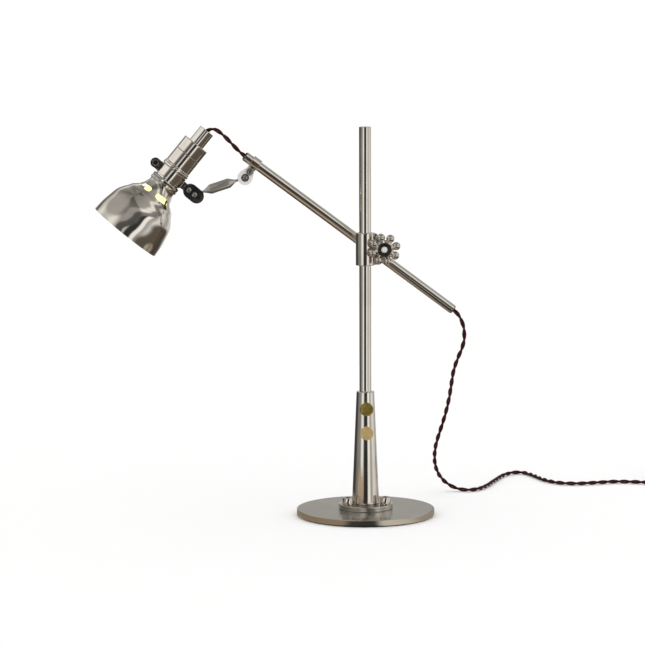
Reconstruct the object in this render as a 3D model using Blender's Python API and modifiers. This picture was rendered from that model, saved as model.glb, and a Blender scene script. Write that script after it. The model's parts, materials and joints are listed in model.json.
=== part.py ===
"""Swing arm desk lamp, modelled piece by piece.

Metres, +Z up. The origin is the centre of the felt pad's underside, and the mast stands on the
Z axis. The buttons and the clamp knob face -Y. The arm, the two knuckles, the link rod and the
head all lie in one plane behind the mast, at y = ARM_Y.
"""

import math

import bmesh
import bpy
from mathutils import Matrix, Vector

MM = 0.001
GAP = 0.3 * MM  # left between pieces that touch

# Foot
BASE_R = 92.4 * MM
BASE_TOP = 9.6 * MM
FELT_R = 89.0 * MM
FELT_TOP = 1.5 * MM
FLANGE_R = 36.5 * MM
FLANGE_TOP = 16.3 * MM
FLANGE_BOLT_CIRCLE = 28.9 * MM
FLANGE_BOLT_HEAD_R = 7.3 * MM
FLANGE_BOLT_HEAD_H = 10.3 * MM
FLANGE_BOLT_ANGLES = (-30, 90, 210)

# Column and mast
COLUMN_BOTTOM = FLANGE_TOP + GAP
COLUMN_TOP = 168.0 * MM
COLUMN_BOTTOM_R = 18.2 * MM
COLUMN_TOP_R = 11.9 * MM
MAST_R = 8.0 * MM
MAST_BORE_R = 6.8 * MM
MAST_FLOOR = 44.0 * MM
MAST_TOP = 521.3 * MM
BUTTON_HEIGHTS = {"upper": 145.8 * MM, "lower": 113.6 * MM}
BUTTON_R = 9.0 * MM
BUTTON_THICK = 3.2 * MM
BUTTON_STEM_R = 3.0 * MM
BUTTON_LIFT = 3.6 * MM  # from the column's skin to the back of the button's head
BUSH_R = 6.2 * MM
SPRING_R = 4.5 * MM
SPRING_WIRE = 0.35 * MM
SPRING_TURNS = 2.5

# Mast collar and its clamp
COLLAR_BOTTOM = 337.3 * MM
COLLAR_TOP = 380.7 * MM
COLLAR_R = 12.6 * MM
COLLAR_BORE_R = 9.3 * MM
LINER_R = 9.0 * MM
LINER_BORE_R = 8.2 * MM
CLAMP = Vector((24.0 * MM, 0.0, 359.3 * MM))  # the clamp bolt's axis runs along Y through here
EAR_HALF = 7.0 * MM  # the collar's two ears reach this far each way from y = 0
CLAMP_BOLT_R = 3.0 * MM
KNOB_LOBES = 8
KNOB_LOBE_R = 5.6 * MM
KNOB_LOBE_CIRCLE = 16.4 * MM
KNOB_PHASE = 16.0
KNOB_Y = -17.5 * MM  # the plane of the lobes' centres

# Arm
ARM_Y = 22.0 * MM
ARM_DIP = 36.8  # degrees below the horizontal towards +X
ARM_DROP = 10.6 * MM  # from the clamp bolt's axis to the arm's axis
ARM_LEFT = -219.1 * MM
ARM_RIGHT = 127.5 * MM
ARM_R = 6.35 * MM
ARM_BORE_R = 5.35 * MM
RING_NEAR = -209.0 * MM
RING_FAR = -197.0 * MM
RING_R = 8.2 * MM

# Knuckles and link rod, all pivots along Y
PIVOT_1 = (-202.7 * MM, -12.6 * MM)  # in the arm's frame: along the arm, and across it
PIVOT_2 = (-202.7 * MM, -23.1 * MM)
PIVOT_3 = Vector((-225.8 * MM, ARM_Y, 431.8 * MM))
PIVOT_R = 2.0 * MM
PLATE_IN = 1.9 * MM  # the knuckle plates lie between these distances from the arm's plane
PLATE_OUT = 4.1 * MM
EYE_HALF = 1.6 * MM
EYE_R = 4.6 * MM
PLATE_R = 9.75 * MM
PLATE_TOP_R = 5.9 * MM
LINK_HEX = 11.5 * MM
LINK_BODY = 26.0 * MM
LINK_TAPER = 9.0 * MM
LINK_NECK_R = 1.7 * MM

# Head: t runs along its axis from the shade's rim, s runs across it, down and to the right
HEAD_RISE = 50.6  # degrees above the horizontal
RIM_CENTRE = Vector((-318.5 * MM, ARM_Y, 382.5 * MM))
SHADE_WALL = 0.9 * MM
SHADE_OUTLINE = (  # (t, radius), from the rim up to the neck
    (0.0, 50.8), (13.3, 49.8), (26.7, 47.4), (38.5, 44.7), (46.4, 40.4), (51.8, 36.2),
    (57.1, 33.0), (60.0, 29.7), (64.0, 25.4), (69.0, 22.2), (74.5, 19.9), (79.0, 19.0),
    (87.4, 19.0),
)
VENTS = 5
VENT_FIRST = 24.5
VENT_SPAN = 50.0
VENT_T = (62.2 * MM, 69.2 * MM)
BAND_T = (90.4 * MM, 105.0 * MM)
BAND_R = 19.4 * MM
BAND_SCREW_S = -26.8 * MM
HEAD_PIVOT_S = 30.6 * MM
HEAD_PIVOT_T = 97.1 * MM
SOCKET_SEAM_T = 132.3 * MM
SOCKET_TOP_T = 150.8 * MM
SOCKET_R = 18.4 * MM
TUBE_TOP_T = 173.3 * MM
TUBE_R = 10.7 * MM

# Cords
CORD_D = 6.2 * MM
LEAD_D = 5.4 * MM
COIL_MID_R = 34.0 * MM

# Facets round a turned piece, by its size
LARGE = 36
MEDIUM = 24
SMALL = 16
TINY = 12

# Colours: red, green, blue, roughness, metallic
NICKEL = (0.74, 0.70, 0.64, 0.12, 1.0)
STEEL = (0.58, 0.57, 0.55, 0.35, 1.0)
BRASS = (0.66, 0.50, 0.22, 0.22, 1.0)
BLACK = (0.03, 0.03, 0.03, 0.35, 0.6)
FELT = (0.05, 0.07, 0.05, 0.95, 0.0)
NYLON = (0.80, 0.79, 0.74, 0.50, 0.0)
RUBBER = (0.03, 0.03, 0.03, 0.70, 0.0)
CERAMIC = (0.86, 0.85, 0.81, 0.25, 0.0)
GLASS = (0.95, 0.95, 0.93, 0.05, 0.0)
CLOTH = (0.12, 0.04, 0.04, 0.90, 0.0)
PLASTIC = (0.05, 0.02, 0.02, 0.45, 0.0)


def clear_scene():
    for obj in list(bpy.data.objects):
        bpy.data.objects.remove(obj, do_unlink=True)


def new_collection(name):
    collection = bpy.data.collections.new(name)
    bpy.context.scene.collection.children.link(collection)
    return collection


clear_scene()
LAMP = new_collection("swing_arm_desk_lamp")
CUTTERS = new_collection("cutters")


def finish(obj, name, colour, collection=None):
    """Names an object, gives it its own material and puts it in its collection."""
    obj.name = name
    obj.data.name = name
    for owner in list(obj.users_collection):
        owner.objects.unlink(obj)
    (collection or LAMP).objects.link(obj)
    if colour is None:
        obj.hide_render = True
        obj.display_type = "WIRE"
        return obj
    material = bpy.data.materials.new(name)
    material.use_nodes = True
    shader = material.node_tree.nodes["Principled BSDF"]
    shader.inputs["Base Color"].default_value = (*colour[:3], 1.0)
    shader.inputs["Roughness"].default_value = colour[3]
    shader.inputs["Metallic"].default_value = colour[4]
    obj.data.materials.clear()
    obj.data.materials.append(material)
    return obj


def empty(name, matrix, parent=None):
    """An empty that pieces are parented to, with the world matrix given."""
    obj = bpy.data.objects.new(name, None)
    obj.empty_display_size = 0.02
    LAMP.objects.link(obj)
    obj.matrix_world = matrix
    if parent:
        obj.parent = parent
        bpy.context.view_layer.update()
        obj.matrix_parent_inverse = parent.matrix_world.inverted()
    bpy.context.view_layer.update()
    return obj


def attach(obj, frame, local=None):
    """Parents an object to a frame empty and places it in that frame."""
    obj.parent = frame
    obj.matrix_parent_inverse = Matrix.Identity(4)
    obj.matrix_basis = local or Matrix.Identity(4)
    return obj


def shift(x=0.0, y=0.0, z=0.0):
    return Matrix.Translation((x, y, z))


def turn(degrees, axis):
    return Matrix.Rotation(math.radians(degrees), 4, axis)


def smooth(obj, angle=35):
    obj.data.shade_smooth()
    obj.data.set_sharp_from_angle(angle=math.radians(angle))


def apply_modifiers(obj):
    """Replaces an object's mesh by the mesh that its modifiers make."""
    bpy.context.view_layer.update()
    graph = bpy.context.evaluated_depsgraph_get()
    mesh = bpy.data.meshes.new_from_object(obj.evaluated_get(graph))
    obj.modifiers.clear()
    obj.data = mesh
    return obj


def turned(name, profile, colour, frame, local=None, steps=MEDIUM, collection=None):
    """A turned piece about its own Z axis.

    The profile is (radius, height) pairs that run down the outer side. It starts and ends on
    the axis, or closes on itself when its first radius isn't zero.
    """
    mesh = bpy.data.meshes.new(name)
    count = len(profile)
    closed = profile[0][0] > 0
    edges = [(i, (i + 1) % count) for i in range(count if closed else count - 1)]
    mesh.from_pydata([(r, 0.0, z) for r, z in profile], edges, [])
    obj = bpy.data.objects.new(name, mesh)
    bpy.context.scene.collection.objects.link(obj)
    screw = obj.modifiers.new("Screw", "SCREW")
    screw.steps = steps
    screw.render_steps = steps
    screw.use_merge_vertices = True
    screw.merge_threshold = 0.00001
    screw.use_smooth_shade = True
    finish(obj, name, colour, collection)
    return attach(obj, frame, local)


def ring_profile(inner, outer, low, high, bevel=0.0):
    """The closed profile of a plain ring, with a small bevel on its outer corners."""
    if bevel:
        return [
            (inner, high), (outer - bevel, high), (outer, high - bevel),
            (outer, low + bevel), (outer - bevel, low), (inner, low),
        ]
    return [(inner, high), (outer, high), (outer, low), (inner, low)]


def disc_profile(radius, low, high, bevel=0.0):
    """The profile of a solid disc, from axis to axis."""
    return [(0.0, high)] + ring_profile(0.0, radius, low, high, bevel)[1:-1] + [(0.0, low)]


def circle(radius, centre=(0.0, 0.0), steps=16):
    """Points of a circle in a plane."""
    return [
        (
            centre[0] + radius * math.cos(2 * math.pi * i / steps),
            centre[1] + radius * math.sin(2 * math.pi * i / steps),
        )
        for i in range(steps)
    ]


def hull_of_circles(first, first_r, second, second_r, steps=12):
    """The outline round two circles, such as an oval plate or an ear."""
    line = Vector((second[0] - first[0], second[1] - first[1]))
    heading = math.atan2(line.y, line.x)
    lean = math.acos((first_r - second_r) / line.length)
    points = []
    for centre, radius, start, sweep in (
        (first, first_r, heading + lean, 2 * math.pi - 2 * lean),
        (second, second_r, heading - lean, 2 * lean),
    ):
        for i in range(steps + 1):
            angle = start + sweep * i / steps
            points.append((centre[0] + radius * math.cos(angle), centre[1] + radius * math.sin(angle)))
    return points


def plate(name, outlines, low, high, colour, frame, local=None, collection=None):
    """A flat piece from outlines in its own XY plane, filled between two heights.

    The first outline is the edge and the others are holes.
    """
    curve = bpy.data.curves.new(name, "CURVE")
    curve.dimensions = "2D"
    curve.fill_mode = "BOTH"
    curve.extrude = (high - low) / 2
    for outline in outlines:
        spline = curve.splines.new("POLY")
        spline.points.add(len(outline) - 1)
        for point, (x, y) in zip(spline.points, outline):
            point.co = (x, y, 0.0, 1.0)
        spline.use_cyclic_u = True
    source = bpy.data.objects.new(name, curve)
    bpy.context.scene.collection.objects.link(source)
    bpy.context.view_layer.update()
    graph = bpy.context.evaluated_depsgraph_get()
    mesh = bpy.data.meshes.new_from_object(source.evaluated_get(graph))
    bpy.data.objects.remove(source, do_unlink=True)
    work = bmesh.new()
    work.from_mesh(mesh)
    bmesh.ops.remove_doubles(work, verts=work.verts, dist=0.00001)
    bmesh.ops.recalc_face_normals(work, faces=work.faces)
    bmesh.ops.translate(work, verts=work.verts, vec=(0.0, 0.0, (high + low) / 2))
    work.to_mesh(mesh)
    work.free()
    obj = bpy.data.objects.new(name, mesh)
    bpy.context.scene.collection.objects.link(obj)
    finish(obj, name, colour, collection)
    return attach(obj, frame, local)


def rod(name, radius, low, high, frame, local=None, colour=None, steps=SMALL):
    """A plain round rod along its own Z axis, as a piece or as a cutter."""
    collection = CUTTERS if colour is None else LAMP
    return turned(name, disc_profile(radius, low, high), colour, frame, local, steps, collection)


def block(name, low, high, frame, local=None):
    """A box cutter between two corners."""
    bpy.ops.mesh.primitive_cube_add(size=1.0)
    obj = bpy.context.object
    size = Vector(high) - Vector(low)
    middle = (Vector(high) + Vector(low)) / 2
    obj.data.transform(Matrix.Translation(middle) @ Matrix.Diagonal((*size, 1.0)))
    obj.matrix_world = Matrix.Identity(4)
    finish(obj, name, None, CUTTERS)
    return attach(obj, frame, local)


def combine(obj, tools, operation="DIFFERENCE"):
    """Cuts or joins tools, one after another, with exact Booleans."""
    for tool in tools:
        change = obj.modifiers.new(tool.name, "BOOLEAN")
        change.operation = operation
        change.solver = "EXACT"
        change.object = tool
    apply_modifiers(obj)
    for tool in tools:
        if operation == "UNION":
            bpy.data.objects.remove(tool, do_unlink=True)
    work = bmesh.new()
    work.from_mesh(obj.data)
    bmesh.ops.dissolve_degenerate(work, edges=work.edges, dist=0.000005)
    work.to_mesh(obj.data)
    work.free()
    smooth(obj)
    return obj


def helix(name, radius, wire, low, high, turns, colour, frame, local=None, sides=8):
    """A coil spring about its own Z axis, as a curve with filled caps."""
    count = int(turns * sides) + 1
    points = []
    for i in range(count):
        angle = 2 * math.pi * i / sides
        height = low + wire + (high - low - 2 * wire) * i / (count - 1)
        points.append((radius * math.cos(angle), radius * math.sin(angle), height))
    return wire_curve(name, points, wire, colour, frame, local)


def wire_curve(name, points, radius, colour, frame=None, local=None):
    """A wire or cord through its points, with filled caps."""
    curve = bpy.data.curves.new(name, "CURVE")
    curve.dimensions = "3D"
    curve.bevel_depth = radius
    curve.bevel_resolution = 2
    curve.use_fill_caps = True
    spline = curve.splines.new("POLY")
    spline.points.add(len(points) - 1)
    for target, point in zip(spline.points, points):
        target.co = (*point, 1.0)
    obj = bpy.data.objects.new(name, curve)
    bpy.context.scene.collection.objects.link(obj)
    finish(obj, name, colour)
    if frame:
        attach(obj, frame, local)
    return obj


def smooth_route(route, spacing):
    """Evenly spaced points on the smooth curve through a route's own points."""
    knots = [Vector(p) * MM for p in route]
    knots = [2 * knots[0] - knots[1]] + knots + [2 * knots[-1] - knots[-2]]
    fine = []
    for a, b, c, d in zip(knots, knots[1:], knots[2:], knots[3:]):
        for i in range(24):
            f = i / 24
            fine.append(
                0.5 * (2 * b + (c - a) * f + (2 * a - 5 * b + 4 * c - d) * f * f
                       + (3 * b - a - 3 * c + d) * f ** 3)
            )
    fine.append(knots[-2])
    lengths = [0.0]
    for a, b in zip(fine, fine[1:]):
        lengths.append(lengths[-1] + (b - a).length)
    count = max(2, round(lengths[-1] / spacing) + 1)
    points = []
    index = 0
    for i in range(count):
        target = lengths[-1] * i / (count - 1)
        while index < len(lengths) - 2 and lengths[index + 1] < target:
            index += 1
        span = lengths[index + 1] - lengths[index]
        f = (target - lengths[index]) / span if span else 0.0
        points.append(fine[index].lerp(fine[index + 1], f))
    return points


# Frames -----------------------------------------------------------------------------------------

STAND = empty("stand_frame", Matrix.Identity(4))
FORWARD = turn(90, "X")  # own Z points to -Y, own X stays and own Y points up


def button_frame(side):
    return empty(f"{side}_button_frame", shift(z=BUTTON_HEIGHTS[side]) @ FORWARD, STAND)


CARRIAGE = empty("carriage_frame", shift(z=(COLLAR_BOTTOM + COLLAR_TOP) / 2), STAND)
COLLAR = empty("collar_frame", Matrix.Identity(4), CARRIAGE)
KNOB = empty("knob_frame", Matrix.Translation(CLAMP) @ FORWARD, COLLAR)
ARM_CLAMP = empty("arm_clamp_frame", Matrix.Translation(CLAMP) @ turn(ARM_DIP, "Y"), COLLAR)
# The arm's frame: X along the arm, Z across it and up, on the arm's own axis
ARM = empty("arm_frame", ARM_CLAMP.matrix_world @ shift(y=ARM_Y, z=-ARM_DROP), ARM_CLAMP)
KNUCKLE_A = empty("knuckle_a_frame", ARM.matrix_world @ shift(PIVOT_1[0], 0, PIVOT_1[1]), ARM)
PIVOT_2_POINT = ARM.matrix_world @ Vector((PIVOT_2[0], 0.0, PIVOT_2[1]))
LINK_LINE = PIVOT_3 - PIVOT_2_POINT
LINK_LENGTH = LINK_LINE.length
# The link's frame: X from the second pivot to the third
LINK = empty(
    "link_frame",
    Matrix.Translation(PIVOT_2_POINT) @ turn(math.degrees(math.atan2(-LINK_LINE.z, LINK_LINE.x)), "Y"),
    KNUCKLE_A,
)
# The head's frame: Z along the head's axis from the rim, X across it, down and to the right
HEAD_AXES = Matrix.Translation(RIM_CENTRE) @ turn(90 - HEAD_RISE, "Y")
HEAD_PIVOT = HEAD_AXES @ Vector((HEAD_PIVOT_S, 0.0, HEAD_PIVOT_T))
KNUCKLE_B = empty("knuckle_b_frame", Matrix.Translation(PIVOT_3) @ turn(90 - HEAD_RISE, "Y"), LINK)
HEAD_JOINT = empty("head_joint", Matrix.Translation(HEAD_PIVOT), KNUCKLE_B)
HEAD = empty("head_frame", HEAD_AXES, HEAD_JOINT)


# Stand ------------------------------------------------------------------------------------------

def column_radius(z):
    share = (z - COLUMN_BOTTOM) / (COLUMN_TOP - COLUMN_BOTTOM)
    return COLUMN_BOTTOM_R + (COLUMN_TOP_R - COLUMN_BOTTOM_R) * share


def build_foot():
    """Base plate, felt pad, flange and the three round-headed bolts that hold the flange."""
    bolt_hole = 3.3 * MM
    recess_r = 13.0 * MM
    recess_top = 6.0 * MM
    base = turned(
        "base_plate",
        [
            (4.3 * MM, BASE_TOP), (BASE_R - 1.2 * MM, BASE_TOP), (BASE_R, BASE_TOP - 1.0 * MM),
            (BASE_R, FELT_TOP + 1.1 * MM), (BASE_R - 0.8 * MM, FELT_TOP + GAP),
            (recess_r, FELT_TOP + GAP), (recess_r, recess_top), (4.3 * MM, recess_top),
        ],
        STEEL, STAND, steps=LARGE,
    )
    flange_low = BASE_TOP + GAP
    flange = turned(
        "hub_flange",
        ring_profile(4.3 * MM, FLANGE_R, flange_low, FLANGE_TOP, 0.5 * MM),
        NICKEL, STAND, steps=MEDIUM,
    )
    base_cuts = []
    flange_cuts = []
    for number, angle in enumerate(FLANGE_BOLT_ANGLES, 1):
        x = FLANGE_BOLT_CIRCLE * math.cos(math.radians(angle))
        y = FLANGE_BOLT_CIRCLE * math.sin(math.radians(angle))
        place = shift(x, y)
        head_low = FLANGE_TOP + GAP
        head_high = head_low + FLANGE_BOLT_HEAD_H
        shank = 3.0 * MM
        tip = 4.5 * MM
        turned(
            f"flange_bolt_{number}",
            [
                (0.0, head_high), (FLANGE_BOLT_HEAD_R - 0.5 * MM, head_high),
                (FLANGE_BOLT_HEAD_R, head_high - 0.5 * MM), (FLANGE_BOLT_HEAD_R, head_low),
                (shank, head_low), (shank, tip), (0.0, tip),
            ],
            NICKEL, STAND, place, steps=SMALL,
        )
        base_cuts.append(rod(f"base_hole_{number}", bolt_hole, tip - GAP, 12.0 * MM, STAND, place))
        flange_cuts.append(rod(f"flange_hole_{number}", bolt_hole, 8.0 * MM, 18.0 * MM, STAND, place))
    combine(base, base_cuts)
    combine(flange, flange_cuts)
    turned("felt_pad", disc_profile(FELT_R, 0.0, FELT_TOP), FELT, STAND, steps=LARGE)


def build_column():
    """The tapered column, the bolt that pulls it down, and the mast in its bore."""
    bore = MAST_R + GAP
    column = turned(
        "column",
        [
            (bore, COLUMN_TOP), (COLUMN_TOP_R - 0.6 * MM, COLUMN_TOP),
            (COLUMN_TOP_R, COLUMN_TOP - 0.6 * MM), (column_radius(0.13), 0.13),
            (column_radius(0.07), 0.07), (COLUMN_BOTTOM_R, COLUMN_BOTTOM + 0.6 * MM),
            (COLUMN_BOTTOM_R - 0.6 * MM, COLUMN_BOTTOM), (4.0 * MM, COLUMN_BOTTOM),
            (4.0 * MM, 38.0 * MM), (bore, 38.0 * MM),
        ],
        NICKEL, STAND, steps=MEDIUM,
    )
    mast_holes = []
    column_holes = []
    for side, height in BUTTON_HEIGHTS.items():
        place = shift(z=height) @ FORWARD
        column_holes.append(rod(f"{side}_column_hole", BUSH_R + GAP, 5.0 * MM, 30 * MM, STAND, place))
        mast_holes.append(rod(f"{side}_mast_hole", BUTTON_STEM_R + GAP, 4.0 * MM, 12 * MM, STAND, place))
    combine(column, column_holes)
    mast = turned(
        "mast_tube",
        ring_profile(MAST_BORE_R, MAST_R, MAST_FLOOR, MAST_TOP, 0.3 * MM),
        NICKEL, STAND, steps=SMALL,
    )
    combine(mast, mast_holes)
    turned(
        "column_bolt",
        [
            (0.0, 34.0 * MM), (3.7 * MM, 34.0 * MM), (3.7 * MM, 4.1 * MM),
            (7.0 * MM, 4.1 * MM), (7.0 * MM, 2.0 * MM), (0.0, 2.0 * MM),
        ],
        STEEL, STAND, steps=SMALL,
    )
    turned(
        "column_washer",
        ring_profile(4.1 * MM, 11.0 * MM, 4.4 * MM, 5.7 * MM),
        STEEL, STAND, steps=SMALL,
    )


def build_button(side):
    """A sprung push button in a bush in the column's wall; its stem reaches into the mast."""
    frame = button_frame(side)
    skin = column_radius(BUTTON_HEIGHTS[side])
    bush_low = MAST_R + 0.7 * MM
    bush_high = math.sqrt(skin ** 2 - BUSH_R ** 2) - 0.2 * MM
    seat = bush_low + 1.3 * MM
    turned(
        f"{side}_bush",
        [
            (SPRING_R + 1.0 * MM, bush_high), (BUSH_R, bush_high), (BUSH_R, bush_low),
            (BUTTON_STEM_R + GAP, bush_low), (BUTTON_STEM_R + GAP, seat),
            (SPRING_R + 1.0 * MM, seat),
        ],
        BRASS, frame, steps=SMALL,
    )
    back = skin + BUTTON_LIFT
    front = back + BUTTON_THICK
    stem_end = MAST_BORE_R - 0.4 * MM
    turned(
        f"{side}_button",
        [
            (0.0, front), (BUTTON_R - 0.5 * MM, front), (BUTTON_R, front - 0.5 * MM),
            (BUTTON_R, back), (BUTTON_STEM_R, back), (BUTTON_STEM_R, stem_end), (0.0, stem_end),
        ],
        BRASS, frame, steps=SMALL,
    )
    helix(
        f"{side}_spring", SPRING_R - 0.4 * MM, SPRING_WIRE, seat + GAP, back - GAP, SPRING_TURNS,
        STEEL, frame,
    )


# Collar, knob and arm clamp ---------------------------------------------------------------------

def build_collar():
    """The sleeve that slides and turns on the mast, with two ears that the clamp bolt closes."""
    middle = (COLLAR_BOTTOM + COLLAR_TOP) / 2
    turned(
        "collar_liner",
        ring_profile(LINER_BORE_R, LINER_R, COLLAR_BOTTOM - middle + 1 * MM, COLLAR_TOP - middle - 1 * MM),
        NYLON, CARRIAGE, steps=SMALL,
    )
    collar = turned(
        "mast_collar",
        ring_profile(COLLAR_BORE_R, COLLAR_R, COLLAR_BOTTOM, COLLAR_TOP, 0.5 * MM),
        NICKEL, COLLAR, steps=MEDIUM,
    )
    ear = plate(
        "collar_ears",
        [
            [
                (10.9 * MM, COLLAR_BOTTOM + 0.8 * MM), (14.5 * MM, COLLAR_BOTTOM + 0.8 * MM),
                *ear_tip(), (14.5 * MM, COLLAR_TOP - 0.8 * MM), (10.9 * MM, COLLAR_TOP - 0.8 * MM),
            ],
            circle(CLAMP_BOLT_R + GAP, (CLAMP.x, CLAMP.z)),
        ],
        -EAR_HALF, EAR_HALF, NICKEL, COLLAR, FORWARD,
    )
    combine(collar, [ear], "UNION")
    slit = block("collar_slit", (8.0 * MM, -0.9 * MM, 0.30), (45.0 * MM, 0.9 * MM, 0.42), COLLAR)
    combine(collar, [slit])


def ear_tip():
    """The round end of the ears, about the clamp bolt, from below to above."""
    points = []
    for i in range(13):
        angle = math.radians(-75 + 150 * i / 12)
        points.append((CLAMP.x + 9.0 * MM * math.cos(angle), CLAMP.z + 9.0 * MM * math.sin(angle)))
    return points


def build_clamp_bolt():
    """Bolt, washer and nut: they stay with the collar while the knob and the arm clamp turn."""
    back = -(ARM_Y + 10.2 * MM)  # in the knob's frame +Z points to the front
    nut_bore = CLAMP_BOLT_R + 0.7 * MM
    turned(
        "clamp_bolt",
        [
            (0.0, 15.4 * MM), (CLAMP_BOLT_R, 15.4 * MM), (CLAMP_BOLT_R, back - 6.0 * MM),
            (0.0, back - 6.0 * MM),
        ],
        STEEL, KNOB, steps=SMALL,
    )
    turned(
        "clamp_nut",
        [
            (nut_bore, back - 0.6 * MM), (6.4 * MM, back - 0.6 * MM),
            (6.9 * MM, back - 1.2 * MM), (6.9 * MM, back - 4.6 * MM),
            (6.2 * MM, back - 5.4 * MM), (nut_bore, back - 5.4 * MM),
        ],
        NICKEL, KNOB, steps=6,
    )
    turned(
        "knob_washer",
        ring_profile(CLAMP_BOLT_R + GAP, 8.0 * MM, EAR_HALF + GAP, EAR_HALF + 1.6 * MM, 0.3 * MM),
        STEEL, KNOB, steps=SMALL,
    )


def build_knob():
    """The clamp knob: a hub with eight round lobes, a dark dished inlay and a domed cap."""
    plane = -KNOB_Y
    low = EAR_HALF + 1.9 * MM
    knob = turned(
        "knob_lobes",
        [
            (CLAMP_BOLT_R + GAP, 16.8 * MM), (9.3 * MM, 16.8 * MM), (9.3 * MM, 21.4 * MM),
            (10.4 * MM, 21.4 * MM), (12.6 * MM, 19.2 * MM), (12.9 * MM, 15.6 * MM),
            (8.0 * MM, 12.4 * MM), (8.0 * MM, low), (CLAMP_BOLT_R + GAP, low),
        ],
        NICKEL, KNOB, steps=MEDIUM,
    )
    lobes = []
    for i in range(KNOB_LOBES):
        angle = math.radians(KNOB_PHASE + 360 * i / KNOB_LOBES)
        bpy.ops.mesh.primitive_uv_sphere_add(segments=10, ring_count=7, radius=KNOB_LOBE_R)
        lobe = finish(bpy.context.object, f"lobe_{i}", None, CUTTERS)
        place = shift(
            KNOB_LOBE_CIRCLE * math.cos(angle), KNOB_LOBE_CIRCLE * math.sin(angle), plane
        )
        attach(lobe, KNOB, place @ turn(7.0 + 23.0 * i, "Z"))
        lobes.append(lobe)
    combine(knob, lobes, "UNION")
    turned(
        "knob_inlay",
        [
            (4.7 * MM, 18.4 * MM), (7.0 * MM, 18.8 * MM), (9.0 * MM, 20.6 * MM),
            (9.0 * MM, 17.1 * MM), (4.7 * MM, 17.1 * MM),
        ],
        BLACK, KNOB, steps=SMALL,
    )
    turned(
        "knob_cap",
        [
            (0.0, 21.6 * MM), (2.0 * MM, 21.3 * MM), (3.6 * MM, 20.2 * MM), (4.4 * MM, 18.4 * MM),
            (4.4 * MM, 17.1 * MM), (0.0, 17.1 * MM),
        ],
        NICKEL, KNOB, steps=SMALL,
    )


def build_arm_clamp():
    """The split block behind the collar: the clamp bolt goes through it and closes it."""
    front = COLLAR_R + 0.5 * MM
    back = ARM_Y + 9.9 * MM
    # The plate's own Z points to -Y, so its heights are the negative of the places along Y
    body = plate(
        "arm_clamp",
        [hull_of_circles((0.0, -ARM_DROP), 9.6 * MM, (0.0, 0.0), 8.6 * MM), circle(CLAMP_BOLT_R + GAP)],
        -back, -front, NICKEL, ARM_CLAMP, FORWARD,
    )
    boss = plate(
        "arm_clamp_boss", [circle(8.0 * MM), circle(CLAMP_BOLT_R + GAP)],
        -front - 1.0 * MM, -EAR_HALF - GAP, NICKEL, ARM_CLAMP, FORWARD,
    )
    combine(body, [boss], "UNION")
    arm_axis = shift(y=ARM_Y, z=-ARM_DROP) @ turn(90, "Y")
    bore = rod("arm_clamp_bore", ARM_R + 0.2 * MM, -20 * MM, 20 * MM, ARM_CLAMP, arm_axis)
    slit = block(
        "arm_clamp_slit", (-20 * MM, ARM_Y - 0.7 * MM, -ARM_DROP), (20 * MM, ARM_Y + 0.7 * MM, 20 * MM),
        ARM_CLAMP,
    )
    combine(body, [bore, slit])


# Arm, knuckles and link -------------------------------------------------------------------------

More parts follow.
